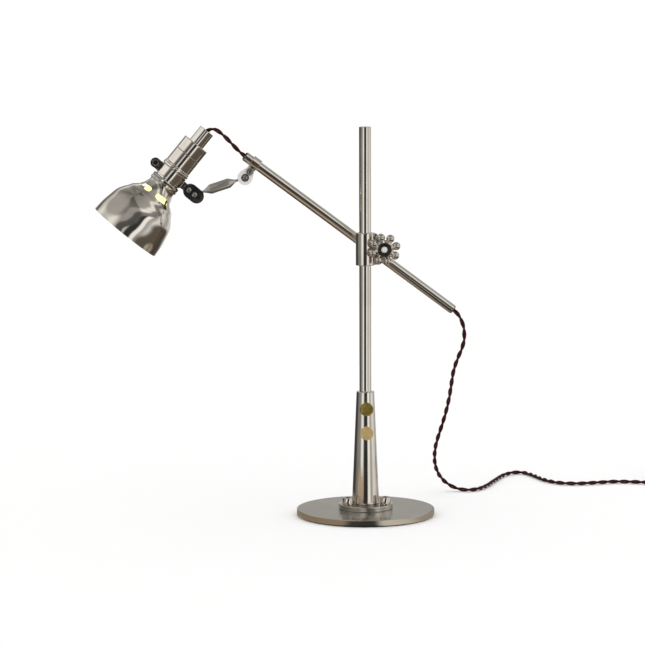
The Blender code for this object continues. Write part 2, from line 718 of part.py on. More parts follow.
def build_arm():
    """The arm tube with a bush in each end, the ring clamp that carries the first knuckle."""
    along = turn(90, "Y")  # own Z along the arm
    turned(
        "arm_tube", ring_profile(ARM_BORE_R, ARM_R, ARM_LEFT, ARM_RIGHT, 0.3 * MM), NICKEL, ARM,
        along, steps=SMALL,
    )
    for side, end, out in (("left", ARM_LEFT, -1), ("right", ARM_RIGHT, 1)):
        inner = CORD_D / 2 + GAP
        profile = [
            (inner, 1.6 * MM), (4.6 * MM, 1.6 * MM), (5.8 * MM, 0.9 * MM), (5.8 * MM, GAP),
            (ARM_BORE_R - GAP, GAP), (ARM_BORE_R - GAP, -8.0 * MM), (inner, -8.0 * MM),
        ]
        facing = along if out > 0 else turn(-90, "Y")
        turned(f"arm_bush_{side}", profile, RUBBER, ARM, shift(x=end) @ facing, steps=SMALL)
    length = ARM_RIGHT - ARM_LEFT - 2 * 9.0 * MM
    points = [(ARM_LEFT + 9.0 * MM + length * i / 4, 0.0, 0.0) for i in range(5)]
    wire_curve("arm_lead", points, LEAD_D / 2, CLOTH, ARM)

    middle = (RING_NEAR + RING_FAR) / 2
    half = (RING_FAR - RING_NEAR) / 2
    ring = turned(
        "arm_ring", ring_profile(ARM_R + 0.15 * MM, RING_R, -half, half, 0.3 * MM), NICKEL, ARM,
        shift(x=middle) @ along, steps=SMALL,
    )
    opening = block(
        "arm_ring_slit", (middle - 10 * MM, -4.4 * MM, -12 * MM), (middle + 10 * MM, 4.4 * MM, 0.0), ARM,
    )
    ears = []
    for name, low in (("front_ear", -6.7 * MM), ("back_ear", 4.4 * MM)):
        outline = [
            (PIVOT_1[0] - 5.0 * MM, -3.6 * MM), (PIVOT_1[0] - 5.0 * MM, PIVOT_1[1]),
            *[
                (
                    PIVOT_1[0] - 5.0 * MM * math.cos(math.pi * i / 10),
                    PIVOT_1[1] - 5.0 * MM * math.sin(math.pi * i / 10),
                )
                for i in range(1, 10)
            ],
            (PIVOT_1[0] + 5.0 * MM, PIVOT_1[1]), (PIVOT_1[0] + 5.0 * MM, -3.6 * MM),
        ]
        # The plate's own Z points to -Y, so its heights are the negative of the places along Y
        ears.append(plate(
            name, [outline, circle(PIVOT_R + GAP, PIVOT_1, 16)], -(low + 2.3 * MM), -low, NICKEL,
            ARM, FORWARD,
        ))
    combine(ring, ears, "UNION")
    bore = rod("arm_ring_bore", ARM_R + 0.15 * MM, -20 * MM, 20 * MM, ARM, shift(x=middle) @ along)
    combine(ring, [opening, bore])
    turned(
        "ring_bolt",
        [
            (0.0, 10.2 * MM), (4.6 * MM, 10.2 * MM), (5.4 * MM, 9.4 * MM), (5.4 * MM, 7.0 * MM),
            (PIVOT_R, 7.0 * MM), (PIVOT_R, -7.0 * MM), (5.4 * MM, -7.0 * MM), (5.4 * MM, -9.6 * MM),
            (4.6 * MM, -10.2 * MM), (0.0, -10.2 * MM),
        ],
        STEEL, ARM, shift(PIVOT_1[0], 0, PIVOT_1[1]) @ FORWARD, steps=6,
    )


def two_plates(name, first, first_r, second, second_r, holes, colour, frame, local):
    """A front and a back plate with the same oval outline and the same holes."""
    outline = hull_of_circles(first, first_r, second, second_r)
    for side, low, high in (("front", PLATE_IN, PLATE_OUT), ("back", -PLATE_OUT, -PLATE_IN)):
        outlines = [outline] + [circle(PIVOT_R + GAP, hole, 16) for hole in holes]
        plate(f"{name}_{side}", outlines, low, high, colour, frame, local)


def pan_screw(name, colour, frame, local):
    """A pivot screw along Y with a round slotted head in front and a round nut behind."""
    screw = turned(
        name,
        [
            (0.0, 6.4 * MM), (2.4 * MM, 6.2 * MM), (3.6 * MM, 5.2 * MM), (3.6 * MM, 4.4 * MM),
            (PIVOT_R, 4.4 * MM), (PIVOT_R, -4.4 * MM), (3.6 * MM, -4.4 * MM),
            (3.6 * MM, -6.4 * MM), (0.0, -6.4 * MM),
        ],
        colour, frame, local, steps=TINY,
    )
    slot = block(
        f"{name}_slot", (-5 * MM, -0.4 * MM, 5.6 * MM), (5 * MM, 0.4 * MM, 8 * MM), frame, local,
    )
    return combine(screw, [slot])


def build_knuckle_a():
    """Two polished plates on the arm's ring clamp, with a spacer and the link's bolt."""
    drop = PIVOT_2[1] - PIVOT_1[1]
    two_plates(
        "knuckle_a", (0.0, drop), PLATE_R, (0.0, 0.0), PLATE_TOP_R, [(0.0, 0.0), (0.0, drop)],
        NICKEL, KNUCKLE_A, FORWARD,
    )
    turned(
        "knuckle_a_spacer",
        ring_profile(PIVOT_R + GAP, 4.3 * MM, -EYE_HALF, EYE_HALF), STEEL, KNUCKLE_A, FORWARD, steps=TINY,
    )
    pan_screw("link_screw", STEEL, KNUCKLE_A, shift(z=drop) @ FORWARD)


def build_link():
    """The link rod: a hexagonal body, a taper to each end, and flat eyes on thin necks."""
    half = LINK_LENGTH / 2
    body = LINK_BODY / 2
    taper = body + LINK_TAPER
    hex_r = LINK_HEX / math.sqrt(3)
    neck = half - EYE_R + 0.6 * MM
    rod_piece = turned(
        "link_rod",
        [
            (0.0, neck), (LINK_NECK_R, neck), (LINK_NECK_R, taper), (hex_r, body), (hex_r, -body),
            (LINK_NECK_R, -taper), (LINK_NECK_R, -neck), (0.0, -neck),
        ],
        NICKEL, LINK, shift(x=half) @ turn(90, "Y"), steps=6,
    )
    eyes = []
    for name, x in (("near_eye", 0.0), ("far_eye", LINK_LENGTH)):
        outlines = [circle(EYE_R, (x, 0.0), 20), circle(PIVOT_R + GAP, (x, 0.0), 16)]
        eyes.append(plate(name, outlines, -EYE_HALF, EYE_HALF, NICKEL, LINK, FORWARD))
    combine(rod_piece, eyes, "UNION")


def build_knuckle_b():
    """Two black plates between the link and the head's band, with their two screws."""
    pivot_4 = KNUCKLE_B.matrix_world.inverted() @ HEAD_PIVOT
    inner = (pivot_4.x + 2.7 * MM, pivot_4.z)
    outer = (inner[0] + 10.5 * MM, pivot_4.z)
    two_plates(
        "knuckle_b", inner, PLATE_R, outer, PLATE_R - 0.01 * MM, [(0.0, 0.0), (pivot_4.x, pivot_4.z)],
        BLACK, KNUCKLE_B, FORWARD,
    )
    pan_screw("link_end_screw", STEEL, KNUCKLE_B, FORWARD)
    pan_screw("head_screw", STEEL, KNUCKLE_B, shift(pivot_4.x, 0, pivot_4.z) @ FORWARD)


# Head -------------------------------------------------------------------------------------------

def build_shade():
    """The spun shade: one thin wall with a row of vent slots in its shoulder."""
    outer = [(r * MM, t * MM) for t, r in SHADE_OUTLINE]
    inner = []
    for index, (radius, height) in enumerate(outer):
        before = outer[max(index - 1, 0)]
        after = outer[min(index + 1, len(outer) - 1)]
        along = Vector((after[0] - before[0], after[1] - before[1])).normalized()
        inner.append((radius - SHADE_WALL * along.y, height + SHADE_WALL * along.x))
    inner[0] = (outer[0][0] - SHADE_WALL, 0.0)
    inner[-1] = (outer[-1][0] - SHADE_WALL, outer[-1][1])
    profile = list(reversed(outer)) + inner
    shade = turned("shade", profile, NICKEL, HEAD, steps=LARGE)
    cutters = []
    for i in range(VENTS):
        centre = VENT_FIRST + 360 / VENTS * i
        steps = 6
        arc = []
        for j in range(steps + 1):
            angle = math.radians(centre - VENT_SPAN / 2 + VENT_SPAN * j / steps - 90)
            arc.append((math.cos(angle), math.sin(angle)))
        outline = [(x * 34 * MM, y * 34 * MM) for x, y in arc]
        outline += [(x * 16 * MM, y * 16 * MM) for x, y in reversed(arc)]
        cutters.append(plate(f"vent_{i}", [outline], *VENT_T, None, HEAD, collection=CUTTERS))
    combine(shade, cutters)
    turned(
        "fitter_ring",
        [
            (19.3 * MM, 88.3 * MM), (20.2 * MM, 88.3 * MM), (20.8 * MM, 87.3 * MM),
            (20.3 * MM, 84.6 * MM), (20.3 * MM, 83.4 * MM), (20.8 * MM, 80.9 * MM),
            (20.2 * MM, 79.8 * MM), (19.3 * MM, 79.8 * MM),
        ],
        NICKEL, HEAD, steps=MEDIUM,
    )


def build_socket():
    """The socket housing in two shells, the cord tube on its top and the tube's grommet."""
    turned(
        "socket_shell",
        [
            (SOCKET_R - 1.0 * MM, SOCKET_SEAM_T), (SOCKET_R, SOCKET_SEAM_T),
            (SOCKET_R, 111.8 * MM), (19.1 * MM, 111.0 * MM), (19.1 * MM, 109.3 * MM),
            (19.8 * MM, 108.6 * MM), (19.8 * MM, 106.0 * MM), (17.7 * MM, 105.4 * MM),
            (17.7 * MM, 83.0 * MM), (16.8 * MM, 83.0 * MM), (16.8 * MM, 105.9 * MM),
            (SOCKET_R - 1.0 * MM, 107.5 * MM),
        ],
        NICKEL, HEAD, steps=MEDIUM,
    )
    turned(
        "socket_cap",
        [
            (TUBE_R + GAP, SOCKET_TOP_T), (SOCKET_R - 0.6 * MM, SOCKET_TOP_T),
            (SOCKET_R, SOCKET_TOP_T - 0.6 * MM), (SOCKET_R, SOCKET_SEAM_T + GAP),
            (SOCKET_R - 1.0 * MM, SOCKET_SEAM_T + GAP), (SOCKET_R - 1.0 * MM, SOCKET_TOP_T - 1.2 * MM),
            (TUBE_R + GAP, SOCKET_TOP_T - 1.2 * MM),
        ],
        NICKEL, HEAD, steps=MEDIUM,
    )
    turned(
        "cord_tube",
        [
            (TUBE_R - 1.0 * MM, TUBE_TOP_T), (TUBE_R - 0.3 * MM, TUBE_TOP_T),
            (TUBE_R, TUBE_TOP_T - 0.3 * MM), (TUBE_R, SOCKET_TOP_T - 1.5 * MM),
            (TUBE_R + 2.2 * MM, SOCKET_TOP_T - 1.5 * MM), (TUBE_R + 2.2 * MM, SOCKET_TOP_T - 3.2 * MM),
            (TUBE_R - 1.0 * MM, SOCKET_TOP_T - 3.2 * MM),
        ],
        NICKEL, HEAD, steps=MEDIUM,
    )
    turned(
        "tube_grommet",
        ring_profile(
            CORD_D / 2 + GAP, TUBE_R - 1.3 * MM, TUBE_TOP_T - 14.8 * MM, TUBE_TOP_T - 10.0 * MM, 0.3 * MM,
        ),
        RUBBER, HEAD, steps=SMALL,
    )


def build_lampholder():
    """The insulator with its screw shell and contact, and the bulb that is screwed into them."""
    turned(
        "insulator",
        [
            (0.0, 127.0 * MM), (12.0 * MM, 127.0 * MM), (16.2 * MM, 122.0 * MM),
            (16.2 * MM, 96.0 * MM), (14.4 * MM, 96.0 * MM), (14.4 * MM, 117.5 * MM), (0.0, 117.5 * MM),
        ],
        CERAMIC, HEAD, steps=SMALL,
    )
    turned(
        "screw_shell",
        [
            (4.0 * MM, 117.2 * MM), (14.1 * MM, 117.2 * MM), (14.1 * MM, 92.5 * MM),
            (13.6 * MM, 92.5 * MM), (13.6 * MM, 116.6 * MM), (4.0 * MM, 116.6 * MM),
        ],
        BRASS, HEAD, steps=SMALL,
    )
    turned(
        "centre_contact",
        [
            (0.0, 117.2 * MM), (3.4 * MM, 117.2 * MM), (3.4 * MM, 116.2 * MM), (2.0 * MM, 114.6 * MM),
            (0.0, 114.6 * MM),
        ],
        BRASS, HEAD, steps=TINY,
    )
    turned(
        "bulb_base",
        [
            (0.0, 114.3 * MM), (3.0 * MM, 114.0 * MM), (9.0 * MM, 111.5 * MM), (13.0 * MM, 109.5 * MM),
            (13.0 * MM, 91.0 * MM), (12.4 * MM, 90.0 * MM), (0.0, 90.0 * MM),
        ],
        BRASS, HEAD, steps=SMALL,
    )
    centre_t = 42.0 * MM
    radius = 23.5 * MM
    outer = []
    for i in range(9):
        angle = math.radians(90 - 15 * i)
        outer.append((radius * math.cos(angle), centre_t - radius * math.sin(angle)))
    outer += [(19.5 * MM, 58.5 * MM), (15.5 * MM, 68.0 * MM), (12.6 * MM, 78.0 * MM), (11.9 * MM, 89.6 * MM)]
    wall = 0.8 * MM
    inner = [(max(r - wall, 0.0), z + (wall if r < radius / 2 else 0.3 * MM)) for r, z in outer[:-1]]
    inner.append((outer[-1][0] - wall, outer[-1][1]))
    turned("bulb_glass", list(inner) + list(reversed(outer)), GLASS, HEAD, steps=SMALL)
    turned(
        "bulb_mount",
        [
            (0.0, 89.6 * MM), (5.5 * MM, 89.6 * MM), (4.5 * MM, 82.0 * MM), (2.4 * MM, 76.0 * MM),
            (2.0 * MM, 52.0 * MM), (0.0, 52.0 * MM),
        ],
        GLASS, HEAD, steps=TINY,
    )


def build_band():
    """The split band that holds the socket, its clamp screw, and the tab of the last pivot."""
    band = turned(
        "band_clamp", ring_profile(18.0 * MM, BAND_R, *BAND_T, 0.4 * MM), NICKEL, HEAD, steps=MEDIUM,
    )
    middle = (BAND_T[0] + BAND_T[1]) / 2
    # The plates' own X runs across the head and their own Y along it
    tab = plate(
        "band_tab",
        [
            hull_of_circles((17.0 * MM, HEAD_PIVOT_T), 5.4 * MM, (HEAD_PIVOT_S, HEAD_PIVOT_T), EYE_R),
            circle(PIVOT_R + GAP, (HEAD_PIVOT_S, HEAD_PIVOT_T), 16),
        ],
        -EYE_HALF, EYE_HALF, NICKEL, HEAD, FORWARD,
    )
    ears = plate(
        "band_ears",
        [
            hull_of_circles((-18.0 * MM, middle), 6.6 * MM, (BAND_SCREW_S, middle), 6.2 * MM),
            circle(PIVOT_R + GAP, (BAND_SCREW_S, middle), 16),
        ],
        -3.4 * MM, 3.4 * MM, NICKEL, HEAD, FORWARD,
    )
    combine(band, [tab, ears], "UNION")
    bore = rod("band_bore", 18.0 * MM, 80 * MM, 115 * MM, HEAD, steps=MEDIUM)
    slit = block("band_slit", (-40 * MM, -0.8 * MM, 80 * MM), (-10 * MM, 0.8 * MM, 115 * MM), HEAD)
    combine(band, [bore, slit])
    turned(
        "band_screw",
        [
            (0.0, 5.6 * MM), (2.0 * MM, 5.6 * MM), (2.0 * MM, 6.6 * MM), (4.6 * MM, 6.6 * MM),
            (6.7 * MM, 6.0 * MM), (6.7 * MM, 3.8 * MM), (PIVOT_R, 3.8 * MM), (PIVOT_R, -3.8 * MM),
            (5.4 * MM, -3.8 * MM), (5.4 * MM, -6.6 * MM), (0.0, -6.6 * MM),
        ],
        BLACK, HEAD, shift(x=BAND_SCREW_S, z=middle) @ FORWARD, steps=SMALL,
    )


# Cords ------------------------------------------------------------------------------------------

# Routes in millimetres, each point chosen by hand
HEAD_LEAD_ROUTE = (
    (-219.1, 22.0, 503.6), (-216.0, 22.0, 507.4), (-212.8, 22.0, 511.3), (-208.6, 22.0, 515.7),
    (-202.6, 22.0, 518.5),
    (-195.8, 22.0, 517.1), (-186.4, 22.0, 509.9), (-176.4, 22.0, 499.7), (-166.5, 22.0, 489.3),
    (-158.6, 22.0, 482.7), (-150.9, 22.0, 476.9),
)
MAINS_ROUTE = (
    (112.9, 22.0, 279.7), (120.4, 22.0, 274.0), (128.4, 22.6, 265.6), (134.7, 25.0, 251.2),
    (136.6, 30.0, 235.0), (134.6, 37.0, 220.5), (129.4, 46.0, 204.0), (125.4, 56.0, 187.0),
    (123.6, 65.0, 169.0), (122.0, 76.0, 149.0), (119.6, 87.0, 130.0), (116.0, 98.0, 111.0),
    (111.6, 109.0, 92.0), (108.2, 120.0, 74.0), (107.8, 132.0, 57.0), (110.4, 144.0, 41.0),
    (117.0, 156.0, 26.0), (127.0, 165.0, 14.0), (139.0, 168.0, 6.2), (151.0, 163.0, 3.4),
    (163.0, 161.0, 3.2), (176.0, 170.0, 3.2), (190.0, 194.0, 3.2), (207.0, 236.0, 3.2),
    (225.0, 277.0, 3.2), (242.0, 297.0, 3.2), (257.0, 296.0, 3.2), (268.0, 270.0, 3.2),
    (277.0, 236.0, 3.2), (293.0, 209.0, 3.2), (318.0, 198.0, 3.2), (348.0, 203.0, 3.2),
    (378.0, 209.0, 3.2), (408.0, 203.0, 3.2), (434.0, 192.0, 3.2), (456.0, 187.0, 3.2),
)
COIL_CENTRE = (480.0 * MM, 225.0 * MM)
COIL_INNER_R = COIL_MID_R - CORD_D - 0.2 * MM
COIL_OUTER_R = COIL_MID_R + CORD_D + 0.2 * MM
COIL_TOP = 2 * CORD_D + 0.4 * MM
PLUG_LENGTH = 30.0 * MM
PLUG_R = 10.5 * MM
BLADE = (17.0 * MM, 1.5 * MM, 6.3 * MM)  # length, thickness and height
BLADE_SPACING = 12.7 * MM


def build_cords():
    """The short lead to the head, and the mains cord to the table with its coil and plug."""
    wire_curve("head_lead", smooth_route(HEAD_LEAD_ROUTE, 9 * MM), CORD_D / 2, CLOTH)
    wire_curve("mains_cord", smooth_route(MAINS_ROUTE, 15 * MM), CORD_D / 2, CLOTH)
    turned(
        "mains_coil", ring_profile(COIL_INNER_R, COIL_OUTER_R, 0.1 * MM, COIL_TOP, 2.0 * MM), CLOTH,
        STAND, shift(*COIL_CENTRE), steps=MEDIUM,
    )


def build_plug():
    """The two-blade plug, which lies on the coil along its far side."""
    high = COIL_TOP + GAP + PLUG_R
    place = shift(COIL_CENTRE[0], COIL_CENTRE[1] + COIL_MID_R, high) @ turn(-90, "Y")
    half = PLUG_LENGTH / 2
    plug = turned(
        "plug_body",
        [
            (0.0, half), (PLUG_R - 1.0 * MM, half), (PLUG_R, half - 1.0 * MM), (PLUG_R, 2.0 * MM),
            (8.0 * MM, -6.0 * MM), (4.4 * MM, -half), (0.0, -half),
        ],
        PLASTIC, STAND, place, steps=SMALL,
    )
    sockets = []
    length, thick, tall = BLADE
    for name, side in (("left", 1), ("right", -1)):
        middle = side * BLADE_SPACING / 2
        blade = block(
            f"plug_blade_{name}", (-tall / 2, middle - thick / 2, half - 5.0 * MM),
            (tall / 2, middle + thick / 2, half + length), STAND, place,
        )
        finish(blade, blade.name, BRASS)
        blade.hide_render = False
        blade.display_type = "TEXTURED"
        sockets.append(block(
            f"plug_slot_{name}", (-tall / 2 - GAP, middle - thick / 2 - GAP, half - 5.0 * MM - GAP),
            (tall / 2 + GAP, middle + thick / 2 + GAP, half + 2.0 * MM), STAND, place,
        ))
    combine(plug, sockets)


build_foot()
build_column()
build_button("upper")
build_button("lower")
build_collar()
build_clamp_bolt()
build_knob()
build_arm_clamp()
build_arm()
build_knuckle_a()
build_link()
build_knuckle_b()
build_shade()
build_socket()
build_lampholder()
build_band()
build_cords()
build_plug()
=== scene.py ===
"""Swing arm desk lamp: the finished pieces, their materials, the studio and the camera.

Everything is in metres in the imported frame: +Z up, the felt pad's centre at the origin, the
buttons and the clamp knob facing -Y. Sizes in the classes are millimetres unless they say so.
"""

from __future__ import annotations

import json
import logging
import math
from dataclasses import dataclass, field
from enum import Enum
from typing import Callable, Iterable, Sequence

import bmesh
import bpy
from mathutils import Matrix, Vector

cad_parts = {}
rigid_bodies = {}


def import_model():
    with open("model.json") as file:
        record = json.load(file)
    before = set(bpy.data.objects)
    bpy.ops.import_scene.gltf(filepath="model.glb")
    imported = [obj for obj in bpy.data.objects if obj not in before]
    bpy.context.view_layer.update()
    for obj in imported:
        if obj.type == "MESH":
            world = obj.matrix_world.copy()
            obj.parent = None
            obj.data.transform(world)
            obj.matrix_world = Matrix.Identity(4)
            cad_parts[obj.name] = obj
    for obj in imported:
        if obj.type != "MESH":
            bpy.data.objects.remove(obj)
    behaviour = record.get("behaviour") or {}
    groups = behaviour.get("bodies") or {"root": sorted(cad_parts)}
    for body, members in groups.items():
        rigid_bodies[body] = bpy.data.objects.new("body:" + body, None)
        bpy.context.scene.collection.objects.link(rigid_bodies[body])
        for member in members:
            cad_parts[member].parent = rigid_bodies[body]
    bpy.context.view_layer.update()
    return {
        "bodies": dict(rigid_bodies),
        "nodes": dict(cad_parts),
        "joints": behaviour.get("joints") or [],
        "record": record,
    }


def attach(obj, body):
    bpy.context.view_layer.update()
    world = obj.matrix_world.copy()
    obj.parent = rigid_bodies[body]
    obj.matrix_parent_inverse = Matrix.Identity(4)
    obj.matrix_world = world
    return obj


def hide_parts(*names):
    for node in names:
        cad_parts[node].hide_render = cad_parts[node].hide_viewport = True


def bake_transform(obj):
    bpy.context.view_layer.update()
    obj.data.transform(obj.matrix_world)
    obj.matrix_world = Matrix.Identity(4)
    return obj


LOG = logging.getLogger("desk_lamp")
MM = 0.001
Pair = tuple[float, float]
Ring = list[Vector]


# Axes -------------------------------------------------------------------------------------------

def shift(x: float = 0.0, y: float = 0.0, z: float = 0.0) -> Matrix:
    """A move, in millimetres."""
    return Matrix.Translation((x * MM, y * MM, z * MM))


def turn(degrees: float, axis: str) -> Matrix:
    """A turn about one of the axes."""
    return Matrix.Rotation(math.radians(degrees), 4, axis)


FORWARD = turn(90, "X")  # own Z to -Y, own X stays, own Y up
ALONG = turn(90, "Y")  # own Z to +X, own X down
ARM_PLANE_Y = 22.0
CLAMP_AXES = shift(24.0, 0.0, 359.3)
KNOB_AXES = CLAMP_AXES @ FORWARD
ARM_CLAMP_AXES = CLAMP_AXES @ turn(36.8, "Y")
ARM_AXES = ARM_CLAMP_AXES @ shift(y=ARM_PLANE_Y, z=-10.6)
PIVOT_1 = (-202.7, -12.6)  # along the arm and across it
PIVOT_2 = (-202.7, -23.1)
PIVOT_3_POINT = Vector((-225.8, ARM_PLANE_Y, 431.8)) * MM
KNUCKLE_A_AXES = ARM_AXES @ shift(PIVOT_1[0], 0.0, PIVOT_1[1])
PIVOT_2_POINT = (ARM_AXES @ shift(PIVOT_2[0], 0.0, PIVOT_2[1])).translation
LINK_LINE = PIVOT_3_POINT - PIVOT_2_POINT
LINK_AXES = Matrix.Translation(PIVOT_2_POINT) @ turn(
    math.degrees(math.atan2(-LINK_LINE.z, LINK_LINE.x)), "Y"
)
HEAD_LEAN = 39.4  # degrees from upright
HEAD_AXES = shift(-318.5, ARM_PLANE_Y, 382.5) @ turn(HEAD_LEAN, "Y")
HEAD_PIVOT = (30.6, 97.1)  # across the head and along it
HEAD_PIVOT_POINT = (HEAD_AXES @ shift(HEAD_PIVOT[0], 0.0, HEAD_PIVOT[1])).translation
KNUCKLE_B_AXES = Matrix.Translation(PIVOT_3_POINT) @ turn(HEAD_LEAN, "Y")


# Node groups and finishes -----------------------------------------------------------------------

class Slot(str, Enum):
    """The record's material slots."""

    POLISHED_NICKEL = "polished_nickel"
    SATIN_NICKEL = "satin_nickel"
    STEEL = "steel"
    BRASS = "brass"
    BLACK_METAL = "black_metal"
    FELT = "felt"
    NYLON = "nylon"
    RUBBER = "rubber"
    CERAMIC = "ceramic"
    CLEAR_GLASS = "clear_glass"
    CORD_CLOTH = "cord_cloth"
    PLUG_PLASTIC = "plug_plastic"


class NodeSheet:
    """Adds nodes to one tree, with their settings, values and links in a single call."""

    def __init__(self, tree: bpy.types.NodeTree) -> None:
        """Starts on a node tree."""
        self.tree = tree

    def add(self, kind: str, inputs: dict | None = None, **settings) -> bpy.types.Node:
        """Adds a node.

        Args:
            kind: The node's type name.
            inputs: Socket name or index to a value, or to another node's output to link.
            **settings: Attributes set on the node first.

        Returns:
            The new node.
        """
        node = self.tree.nodes.new(kind)
        for key, value in settings.items():
            setattr(node, key, value)
        for key, value in (inputs or {}).items():
            if isinstance(value, bpy.types.NodeSocket):
                self.tree.links.new(value, node.inputs[key])
            else:
                node.inputs[key].default_value = value
        return node

    def math(
        self, operation: str, first: float | bpy.types.NodeSocket,
        second: float | bpy.types.NodeSocket = 0.0, clamp: bool = False,
    ) -> bpy.types.NodeSocket:
        """Adds a Math node.

        Args:
            operation: The node's operation.
            first: The first number, or an output to link.
            second: The second number, or an output to link.
            clamp: True to keep the result between 0 and 1.

        Returns:
            The node's output.
        """
        node = self.add("ShaderNodeMath", {0: first, 1: second}, operation=operation)
        node.use_clamp = clamp
        return node.outputs[0]


def new_group(
    name: str, inputs: Sequence[tuple[str, str, object]], outputs: Sequence[tuple[str, str]],
) -> tuple[bpy.types.NodeTree, NodeSheet, bpy.types.Node, bpy.types.Node]:
    """Makes an empty shader node group.

    Args:
        name: The group's name.
        inputs: Socket name, socket type and default value, in order.
        outputs: Socket name and socket type, in order.

    Returns:
        The group's tree, its sheet, its input node and its output node.
    """
    tree = bpy.data.node_groups.new(name, "ShaderNodeTree")
    for label, kind, value in inputs:
        socket = tree.interface.new_socket(label, in_out="INPUT", socket_type=kind)
        socket.default_value = value
    for label, kind in outputs:
        tree.interface.new_socket(label, in_out="OUTPUT", socket_type=kind)
    sheet = NodeSheet(tree)
    return tree, sheet, sheet.add("NodeGroupInput"), sheet.add("NodeGroupOutput")


FLOAT = "NodeSocketFloat"
COLOUR = "NodeSocketColor"


def tone_group() -> bpy.types.NodeTree:
    """A colour that drifts between two tones in soft clouds, with a third on worn edges."""
    tree, sheet, source, result = new_group(
        "Tone drift",
        [("Tone", COLOUR, (1, 1, 1, 1)), ("Shade", COLOUR, (0.5, 0.5, 0.5, 1)),
         ("Edge", COLOUR, (1, 1, 1, 1)), ("Cloud Scale", FLOAT, 30.0), ("Edge Amount", FLOAT, 0.3)],
        [("Colour", COLOUR), ("Edge Mask", FLOAT)],
    )
    place = sheet.add("ShaderNodeTexCoord")
    cloud = sheet.add(
        "ShaderNodeTexNoise",
        {"Vector": place.outputs["Object"], "Scale": source.outputs["Cloud Scale"], "Detail": 4.0},
    )
    drift = sheet.add(
        "ShaderNodeMapRange", {"Value": cloud.outputs[0], "From Min": 0.35, "From Max": 0.68},
        interpolation_type="SMOOTHSTEP",
    )
    mixed = sheet.add(
        "ShaderNodeMix",
        {0: drift.outputs[0], 6: source.outputs["Shade"], 7: source.outputs["Tone"]}, data_type="RGBA",
    )
    shape = sheet.add("ShaderNodeNewGeometry")
    edge = sheet.add(
        "ShaderNodeMapRange",
        {"Value": shape.outputs["Pointiness"], "From Min": 0.515, "From Max": 0.60},
    )
    fine = sheet.add(
        "ShaderNodeTexNoise", {"Vector": place.outputs["Object"], "Scale": 900.0, "Detail": 3.0},
    )
    worn = sheet.math("MULTIPLY", edge.outputs[0], fine.outputs[0])
    mask = sheet.math("MULTIPLY", worn, source.outputs["Edge Amount"], clamp=True)
    final = sheet.add(
        "ShaderNodeMix", {0: mask, 6: mixed.outputs[2], 7: source.outputs["Edge"]}, data_type="RGBA",
    )
    tree.links.new(final.outputs[2], result.inputs["Colour"])
    tree.links.new(mask, result.inputs["Edge Mask"])
    return tree


def smudge_group() -> bpy.types.NodeTree:
    """A roughness between two values, in soft patches like handling marks and wiped polish."""
    tree, sheet, source, result = new_group(
        "Handling marks",
        [("Low", FLOAT, 0.1), ("High", FLOAT, 0.2), ("Patch Scale", FLOAT, 40.0)],
        [("Roughness", FLOAT)],
    )
    place = sheet.add("ShaderNodeTexCoord")
    patch = sheet.add(
        "ShaderNodeTexNoise",
        {"Vector": place.outputs["Object"], "Scale": source.outputs["Patch Scale"], "Detail": 5.0,
         "Roughness": 0.6, "Distortion": 0.6},
    )
    spread = sheet.add(
        "ShaderNodeMapRange",
        {"Value": patch.outputs[0], "From Min": 0.3, "From Max": 0.72, "To Min": source.outputs["Low"],
         "To Max": source.outputs["High"]},
        interpolation_type="SMOOTHSTEP",
    )
    tree.links.new(spread.outputs[0], result.inputs["Roughness"])
    return tree


def turning_group() -> bpy.types.NodeTree:
    """The height of fine lines that run round a piece's own Z axis, as from a lathe and a buff."""
    tree, sheet, source, result = new_group(
        "Turning lines", [("Lines", FLOAT, 2500.0), ("Run", FLOAT, 25.0)], [("Height", FLOAT)],
    )
    place = sheet.add("ShaderNodeTexCoord")
    parts = sheet.add("ShaderNodeSeparateXYZ", {0: place.outputs["Object"]})
    squares = sheet.math(
        "ADD", sheet.math("MULTIPLY", parts.outputs[0], parts.outputs[0]),
        sheet.math("MULTIPLY", parts.outputs[1], parts.outputs[1]),
    )
    radius = sheet.math("SQRT", squares)
    across = sheet.math("MULTIPLY", sheet.math("ADD", radius, parts.outputs[2]), source.outputs["Lines"])
    vector = sheet.add(
        "ShaderNodeCombineXYZ",
        {0: sheet.math("MULTIPLY", parts.outputs[0], source.outputs["Run"]),
         1: sheet.math("MULTIPLY", parts.outputs[1], source.outputs["Run"]), 2: across},
    )
    lines = sheet.add(
        "ShaderNodeTexNoise", {"Vector": vector.outputs[0], "Scale": 1.0, "Detail": 2.0},
    )
    tree.links.new(lines.outputs[0], result.inputs["Height"])
    return tree


def grain_group() -> bpy.types.NodeTree:
    """The height of a fine moulded or cast grain."""
    tree, sheet, source, result = new_group(
        "Fine grain", [("Grain Scale", FLOAT, 1500.0), ("Pits", FLOAT, 0.3)], [("Height", FLOAT)],
    )
    place = sheet.add("ShaderNodeTexCoord")
    soft = sheet.add(
        "ShaderNodeTexNoise",
        {"Vector": place.outputs["Object"], "Scale": source.outputs["Grain Scale"], "Detail": 3.0},
    )
    cell = sheet.add(
        "ShaderNodeTexVoronoi",
        {"Vector": place.outputs["Object"], "Scale": source.outputs["Grain Scale"]},
    )
    pits = sheet.math("MULTIPLY", cell.outputs["Distance"], source.outputs["Pits"])
    tree.links.new(sheet.math("ADD", soft.outputs[0], pits), result.inputs["Height"])
    return tree


